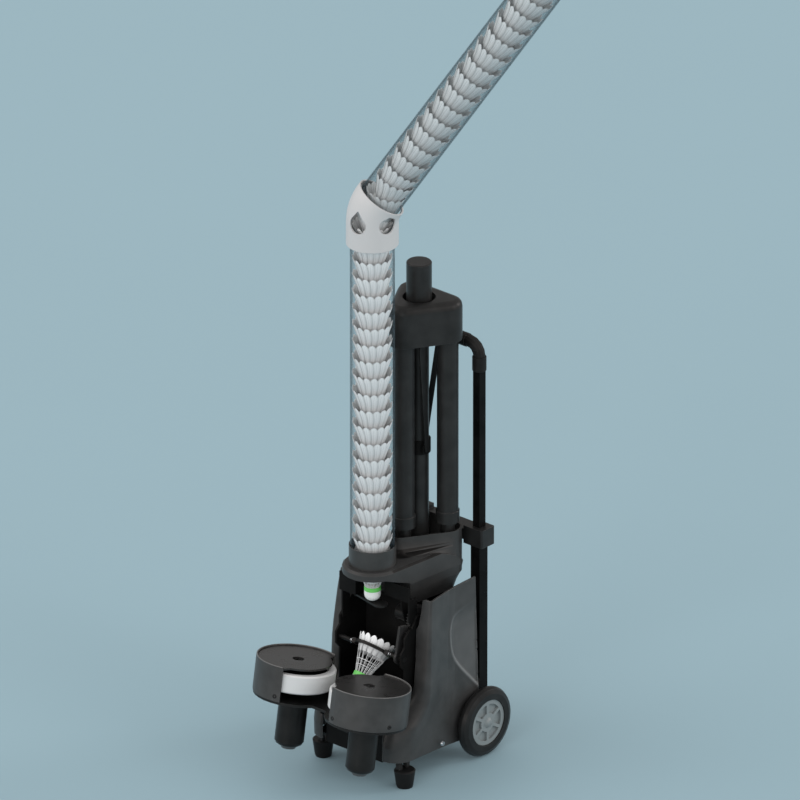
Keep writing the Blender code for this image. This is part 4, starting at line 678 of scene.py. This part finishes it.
def only(kind, geometry):
    """Picks the corners or the edges out of what an operator made."""
    return [part for part in geometry if isinstance(part, kind)]


def grow_rim(shape, edges, rise):
    """Extrudes an open rim along a vector and gives the new rim's edges."""
    grown = bmesh.ops.extrude_edge_only(shape, edges=edges)["geom"]
    bmesh.ops.translate(shape, verts=only(bmesh.types.BMVert, grown), vec=rise)
    return only(bmesh.types.BMEdge, grown)


def collar_wall():
    """Sweeps a circle up the bend and gives the sheet its wall."""
    shape = bmesh.new()
    reach = BEND_R * math.tan(TILT / 2)
    bmesh.ops.create_circle(shape, segments=COLLAR_SIDES, radius=ELBOW_R)
    bmesh.ops.translate(shape, verts=shape.verts, vec=(0, 0, -ELBOW_LOW_RIM))
    rim = grow_rim(shape, shape.edges[:], (0, 0, ELBOW_LOW_RIM - reach))
    bent = bmesh.ops.spin(shape, geom=rim, cent=(BEND_R, 0, -reach), axis=(0, 1, 0), dvec=(0, 0, 0),
                          angle=TILT, steps=BEND_STEPS)["geom_last"]
    rise = Vector((math.sin(TILT), 0, math.cos(TILT))) * (ELBOW_TOP_RIM - reach)
    grow_rim(shape, only(bmesh.types.BMEdge, bent), rise)
    bmesh.ops.recalc_face_normals(shape, faces=shape.faces)
    bmesh.ops.solidify(shape, geom=shape.faces[:], thickness=ELBOW_WALL)
    rims = [e for e in shape.edges if abs(e.calc_face_angle(0.0)) > RIGHT_ANGLED]
    bmesh.ops.bevel(shape, geom=rims, affect="EDGES", offset=RIM_ROUND, segments=2, profile=0.5,
                    material=-1)
    return shape


def window_drops():
    """Makes the five drops that the windows are cut with, lower on the inside of the bend."""
    shape = bmesh.new()
    shoulder_half = WINDOW_R * math.cos(SHOULDER)
    shoulder = WINDOW_R * math.sin(SHOULDER)
    near, far = WINDOW_REACH
    for index in range(WINDOWS):
        angle = FIRST_WINDOW - TURN + 2 * math.pi * index / WINDOWS
        top = WINDOW_TOP - INNER_BEND_CUT * max(0.0, math.cos(angle))
        made = bmesh.ops.create_circle(shape, segments=WINDOW_SIDES, radius=WINDOW_R,
                                       cap_ends=True)["verts"]
        for vert in made:
            if vert.co.y > shoulder:
                vert.co.y = top - (top - shoulder) * abs(vert.co.x) / shoulder_half
        bmesh.ops.translate(shape, verts=made, vec=(0, WINDOW_Z, near))
        face = made[0].link_faces[0]
        grown = bmesh.ops.extrude_face_region(shape, geom=[face])["geom"]
        outer = only(bmesh.types.BMVert, grown)
        bmesh.ops.translate(shape, verts=outer, vec=(0, 0, far - near))
        beside = Vector((-math.sin(angle), math.cos(angle), 0))
        outward = Vector((math.cos(angle), math.sin(angle), 0))
        turn = Matrix((beside, Vector((0, 0, 1)), outward)).transposed().to_4x4()
        bmesh.ops.transform(shape, verts=made + outer, matrix=turn)
    bmesh.ops.recalc_face_normals(shape, faces=shape.faces)
    return shape


def cut_away(shape, cutter):
    """Cuts one shape out of another."""
    stock = bpy.data.objects.new("stock", as_mesh(shape, "stock"))
    tool = bpy.data.objects.new("tool", as_mesh(cutter, "tool"))
    for made in (stock, tool):
        bpy.context.scene.collection.objects.link(made)
    cut = stock.modifiers.new("cut", "BOOLEAN")
    cut.operation = "DIFFERENCE"
    cut.object = tool
    result = bmesh.new()
    result.from_object(stock, bpy.context.evaluated_depsgraph_get())
    for made in (stock, tool):
        bpy.data.objects.remove(made)
    return result


collar = cut_away(collar_wall(), window_drops())
bmesh.ops.transform(collar, verts=collar.verts, matrix=meeting)
fitted("elbow_collar", collar, "magazine", moulded("elbow_white", ELBOW_WHITE, roughness=0.44, edge_wear_and_highlight=0.02),
       "elbow", "elbow")

# Shuttles: sixteen goose feathers set in a white leather-covered cork with a green band, and held
# by two rings of thread. Each vane overlaps the next, and below it the bare quill shows.
CORK_R = 0.0130
CORK_HEIGHT = 0.0255
SKIRT_R = 0.0316
SHUTTLE_HEIGHT = 0.0848
FEATHERS = 16
VANE_FOOT = 0.0455
HELD_VANE_FOOT = 0.0570
VANE_HALF = 0.0074
VANE_SLOPE = 0.060
VANE_THICK = 0.00026
VANE_FOOT_SHARE = 0.48
VANE_WIDEST = 0.55
TIP_NARROWING = 0.16
TIP_ROUND = 0.0060
QUILL_R = 0.0008
QUILL_SUNK = 0.002
QUILL_IN_CORK = 0.0016
QUILL_BELOW_TIP = 0.004
QUILL_TIP_SHARE = 0.4
CORK_NOSE = 0.0115
NOSE_STEPS = 7
CORK_ROUND = 0.0006
BAND = (0.0185, 0.0255)
BAND_PROUD = 0.00018
BAND_BEHIND = 0.0003
THREADS = (0.0365, 0.0450)
THREAD_R = 0.00055
THREAD_SIDES = 6
BARBS = 150.0
BARB_SLANT = 42.0
BARB_DEPTH = 0.00012
VANE_WHITE = (0.97, 0.97, 0.97)
VANE_SHADE = (0.27, 0.28, 0.29)
CORK_WHITE = (0.84, 0.84, 0.82)
BAND_GREEN = (0.16, 0.62, 0.13)
THREAD_WHITE = (0.76, 0.77, 0.78)
NEST_PITCH = 0.028
NEST_TURN = 0.39
UPPER_FIRST = 0.002
LOWER_COUNT = 21
UPPER_COUNT = 16
CRADLE_LEAN = math.radians(41)
CRADLE_OFFSET = 0.008
CRADLE_GRIP = 0.0685
ELBOW_SHUTTLE_Z = 0.8743
ELBOW_SHUTTLE_TILT = math.radians(3)
BEND_SHUTTLES = ((0.0, -0.0502, 15.0), (0.0030, -0.0240, 23.5))
dice = random.Random(7)


def skirt_line(height):
    """Gives the radius of the feathers' line at a height over the cork's nose."""
    share = (height - CORK_HEIGHT) / (SHUTTLE_HEIGHT - CORK_HEIGHT)
    start = CORK_R - QUILL_IN_CORK
    return start + (SKIRT_R - start) * share


def one_feather(vane_foot):
    """Models one feather standing at +X: a curved vane with a round tip, and its quill."""
    shape = bmesh.new()
    pattern = shape.loops.layers.uv.new("vane")
    bmesh.ops.create_grid(shape, x_segments=5, y_segments=7, size=1.0)
    for face in shape.faces:
        for loop in face.loops:
            loop[pattern].uv = (loop.vert.co.x, (loop.vert.co.y + 1) / 2)
    for vert in shape.verts:
        beside = vert.co.x
        up = (vert.co.y + 1) / 2
        height = vane_foot + (SHUTTLE_HEIGHT - vane_foot) * up - TIP_ROUND * beside ** 2 * up ** 5
        widening = VANE_FOOT_SHARE + (1 - VANE_FOOT_SHARE) * eased(up / VANE_WIDEST)
        half = VANE_HALF * widening * (1 - TIP_NARROWING * up ** 9)
        radius = skirt_line(height) + VANE_SLOPE * beside * half
        angle = beside * half / radius
        vert.co = (radius * math.cos(angle), radius * math.sin(angle), height)
    bmesh.ops.recalc_face_normals(shape, faces=shape.faces)
    bmesh.ops.solidify(shape, geom=shape.faces[:], thickness=VANE_THICK)
    low = CORK_HEIGHT - QUILL_SUNK
    high = SHUTTLE_HEIGHT - QUILL_BELOW_TIP
    foot = Vector((skirt_line(low), 0, low))
    tip = Vector((skirt_line(high), 0, high))
    run = tip - foot
    made = bmesh.ops.create_cone(shape, cap_ends=True, segments=5, radius1=QUILL_R,
                                 radius2=QUILL_R * QUILL_TIP_SHARE, depth=run.length)
    turn = run.to_track_quat("Z", "Y").to_matrix().to_4x4()
    bmesh.ops.transform(shape, verts=made["verts"], matrix=Matrix.Translation((foot + tip) / 2) @ turn)
    return as_mesh(shape, "feather")


def turned_ring(shape, profile, steps=28):
    """Spins a profile of radius and height round the shuttle's axis."""
    verts = [shape.verts.new((radius, 0, height)) for radius, height in profile]
    edges = [shape.edges.new(pair) for pair in zip(verts, verts[1:])]
    bmesh.ops.spin(shape, geom=verts + edges, cent=(0, 0, 0), axis=(0, 0, 1), dvec=(0, 0, 0),
                   angle=2 * math.pi, steps=steps, use_merge=True)
    bmesh.ops.remove_doubles(shape, verts=shape.verts, dist=SAME_PLACE)
    bmesh.ops.recalc_face_normals(shape, faces=shape.faces)


def shuttle_skirt(feather):
    """Sets the sixteen feathers round the axis."""
    step = 2 * math.pi / FEATHERS
    return set_out(feather, [Matrix.Rotation(step * i, 4, "Z") for i in range(FEATHERS)])


def shuttle_cork():
    """Spins the cork: a round nose under a straight side, closed by its flat top."""
    shape = bmesh.new()
    profile = [(CORK_R * math.sin(a), CORK_NOSE * (1 - math.cos(a)))
               for a in (math.radians(90 * i / NOSE_STEPS) for i in range(NOSE_STEPS + 1))]
    profile[0] = (0.0, 0.0)
    profile += [(CORK_R, CORK_HEIGHT - CORK_ROUND), (CORK_R - CORK_ROUND, CORK_HEIGHT)]
    profile.append((0.0, CORK_HEIGHT))
    turned_ring(shape, profile)
    return shape


def shuttle_band():
    """Spins the thin band pressed round the cork's side."""
    shape = bmesh.new()
    low, high = BAND
    outer = CORK_R + BAND_PROUD
    inner = CORK_R - BAND_BEHIND
    turned_ring(shape, [(inner, low), (outer, low), (outer, high), (inner, high), (inner, low)])
    return shape


def shuttle_threads():
    """Spins the two rings of thread that tie the quills."""
    shape = bmesh.new()
    for height in THREADS:
        radius = skirt_line(height) + QUILL_R * 0.6
        ring = [(radius + THREAD_R * math.cos(a), height + THREAD_R * math.sin(a))
                for a in (2 * math.pi * i / THREAD_SIDES for i in range(THREAD_SIDES + 1))]
        turned_ring(shape, ring, 24)
    return shape


def feather_finish():
    """White vane with fine barbs slanting from the quill, with painted shade at the foot under the row
    above, and greyer towards the edges.
    """
    material, shader, place = start_finish("feather_white", Sheen_Weight=0.15)
    pattern = place.node("ShaderNodeUVMap", {"uv_map": "vane"}, {})
    beside = place.node("ShaderNodeSeparateXYZ", {}, {0: pattern}, "X")
    up = place.node("ShaderNodeSeparateXYZ", {}, {0: pattern}, "Y")
    out = beside.math("ABSOLUTE", beside, 0.0)
    slant = up * BARBS - out * BARB_SLANT
    ridge = slant.math("SINE", slant, 0.0) * 0.5 + 0.5
    # Painted shade: darker towards the vane's foot, where the row above overlaps it; also greyer towards
    # the edges and along the barbs
    shade = (1 - up) * 0.48 + out * out * 0.34 + ridge * 0.12
    feed(shader, "Base Color", shade.between(0.1, 1.0).mix(VANE_WHITE, VANE_SHADE))
    feed(shader, "Roughness", 0.60 + ridge * 0.12)
    relief = {"Strength": 0.5, "Distance": BARB_DEPTH, "Height": ridge}
    feed(shader, "Normal", place.node("ShaderNodeBump", {}, relief))
    return material


skirt_mesh = as_mesh(shuttle_skirt(one_feather(VANE_FOOT)), "skirt")
open_skirt = as_mesh(shuttle_skirt(one_feather(HELD_VANE_FOOT)), "open_skirt")
cork_mesh = as_mesh(shuttle_cork(), "cork")
band_mesh = as_mesh(shuttle_band(), "band")
thread_mesh = as_mesh(shuttle_threads(), "threads")
feather_white = feather_finish()
cork_white = moulded("cork_leather", CORK_WHITE, roughness=0.48, grain=0.0008, depth=0.00006, edge_wear_and_highlight=0.0)
band_green = moulded("band_green", BAND_GREEN, roughness=0.40, edge_wear_and_highlight=0.0)
thread_white = moulded("thread_white", THREAD_WHITE, roughness=0.60, grain=0.0004, edge_wear_and_highlight=0.0)


def shuttles(word, node, places, skirt=skirt_mesh, bare=0):
    """Makes the skirts, corks, bands and threads of shuttles in place of a node, some bandless."""
    body = frame["nodes"][node]["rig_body"]
    fitted(word + "_skirts", set_out(skirt, places), body, feather_white, node, node)
    fitted(word + "_corks", set_out(cork_mesh, places), body, cork_white, node)
    fitted(word + "_bands", set_out(band_mesh, places[bare:]), body, band_green, node)
    fitted(word + "_threads", set_out(thread_mesh, places), body, thread_white, node)


def stacked(base, count):
    """Gives nested places up an axis, each shuttle turned a little at random."""
    places = []
    for index in range(count):
        turn = Matrix.Rotation(dice.random() * NEST_TURN, 4, "Z")
        places.append(base @ Matrix.Translation((0, 0, NEST_PITCH * index)) @ turn)
    return places


lower_foot = Matrix.Translation((AXIS.x, AXIS.y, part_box("lower_shuttle_stack")[0].z))
shuttles("lower_stack", "lower_shuttle_stack", stacked(lower_foot, LOWER_COUNT))
upper_foot = meeting @ Matrix.Rotation(TILT, 4, "Y") @ Matrix.Translation((0, 0, UPPER_FIRST))
shuttles("upper_stack", "upper_shuttle_stack", stacked(upper_foot, UPPER_COUNT), bare=1)
bend_place = meeting @ Matrix.Translation((0, 0, ELBOW_SHUTTLE_Z - ELBOW_MEETING_Z))
shuttles("elbow_one", "elbow_shuttle", [bend_place @ Matrix.Rotation(ELBOW_SHUTTLE_TILT, 4, "Y")])
bend_places = [meeting @ Matrix.Translation((x, 0, z)) @ Matrix.Rotation(math.radians(lean), 4, "Y")
               for x, z, lean in BEND_SHUTTLES]
fitted("bend_skirts", set_out(skirt_mesh, bend_places), "magazine", feather_white, "elbow_shuttle")
fitted("bend_corks", set_out(cork_mesh, bend_places), "magazine", cork_white, "elbow_shuttle")
cradle_place = Matrix.Translation(Vector((AXIS.x, pivot.y, pivot.z)))
cradle_place = cradle_place @ Matrix.Rotation(-CRADLE_LEAN, 4, "X")
cradle_place = cradle_place @ Matrix.Translation((0, CRADLE_OFFSET, -CRADLE_GRIP))
shuttles("held", "held_shuttle", [cradle_place], open_skirt)

# Floor, light and camera: a pale blue-grey floor that fills the view, soft light from the sky and
# four broad distant lamps, and a long lens from above and to the right of the front.
FLOOR_COLOR = (0.268, 0.392, 0.448)
FLOOR_REACH = 30.0
FLOOR_MOTTLE = 0.8
SKY_COLOR = (1.0, 0.995, 0.985, 1.0)
SKY_STRENGTH = 0.86
SKY_LOST_IN_SHINE = 0.50
LENS = 1500.0
VIEW_WIDTH = 1.24
SENSOR = 36.0
VIEW_RIGHT = Vector((0.7460, 0.6660, 0.0)).normalized()
VIEW_BACK = Vector((0.6047, -0.6774, 0.4187)).normalized()
VIEW_UP = VIEW_BACK.cross(VIEW_RIGHT)
AIM_RIGHT = 0.044
AIM_UP = 0.570
AIM_BACK = 0.26
FARTHEST_SEEN = 300.0

floor = bmesh.new()
bmesh.ops.create_grid(floor, x_segments=2, y_segments=2, size=FLOOR_REACH)
floor_mesh = as_mesh(floor, "floor")
floor_finish, floor_shader, floor_place = start_finish("floor_paint")
tone = speckle(floor_place, FLOOR_MOTTLE)
feed(floor_shader, "Base Color", tone.mix(FLOOR_COLOR, tuple(c * 1.03 for c in FLOOR_COLOR)))
feed(floor_shader, "Roughness", 0.78 + tone * 0.06)
floor_mesh.materials.append(floor_finish)
floor_piece = bpy.data.objects.new("floor", floor_mesh)
bpy.context.scene.collection.objects.link(floor_piece)
floor_piece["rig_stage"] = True

world = bpy.data.worlds.new("studio")
bpy.context.scene.world = world
world.use_nodes = True
sky = world.node_tree.nodes["Background"]
mirrored = Value(world.node_tree, None).node("ShaderNodeLightPath", {}, {}, "Is Glossy Ray")
feed(sky, "Strength", SKY_STRENGTH - mirrored * SKY_LOST_IN_SHINE)
sky.inputs["Color"].default_value = SKY_COLOR


def soft_sun(name, toward, strength, spread):
    """Adds distant light, as wide in the sky as its spread in degrees, which falls evenly."""
    lamp = bpy.data.lights.new(name, "SUN")
    lamp.energy = strength
    lamp.angle = math.radians(spread)
    made = bpy.data.objects.new(name, lamp)
    made.rotation_euler = (-Vector(toward)).to_track_quat("-Z", "Y").to_euler()
    bpy.context.scene.collection.objects.link(made)


soft_sun("high_left", (-1.6, -1.8, 1.7), 0.70, 50)
soft_sun("front", (0.4, -2.4, 0.9), 0.60, 30)
soft_sun("right_side", (2.4, 0.3, 1.2), 0.45, 30)
soft_sun("behind", (1.4, 2.0, 0.9), 0.55, 15)

aim = AXIS + VIEW_RIGHT * AIM_RIGHT + VIEW_UP * AIM_UP + VIEW_BACK * AIM_BACK
lens = bpy.data.cameras.new("camera")
lens.lens = LENS
lens.sensor_width = SENSOR
lens.clip_end = FARTHEST_SEEN
camera = bpy.data.objects.new("camera", lens)
turn = Matrix((VIEW_RIGHT, VIEW_UP, VIEW_BACK)).transposed().to_4x4()
camera.matrix_world = Matrix.Translation(aim + VIEW_BACK * VIEW_WIDTH * LENS / SENSOR) @ turn
bpy.context.scene.collection.objects.link(camera)
bpy.context.scene.camera = camera
bpy.context.scene.view_settings.view_transform = "Standard"

low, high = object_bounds()
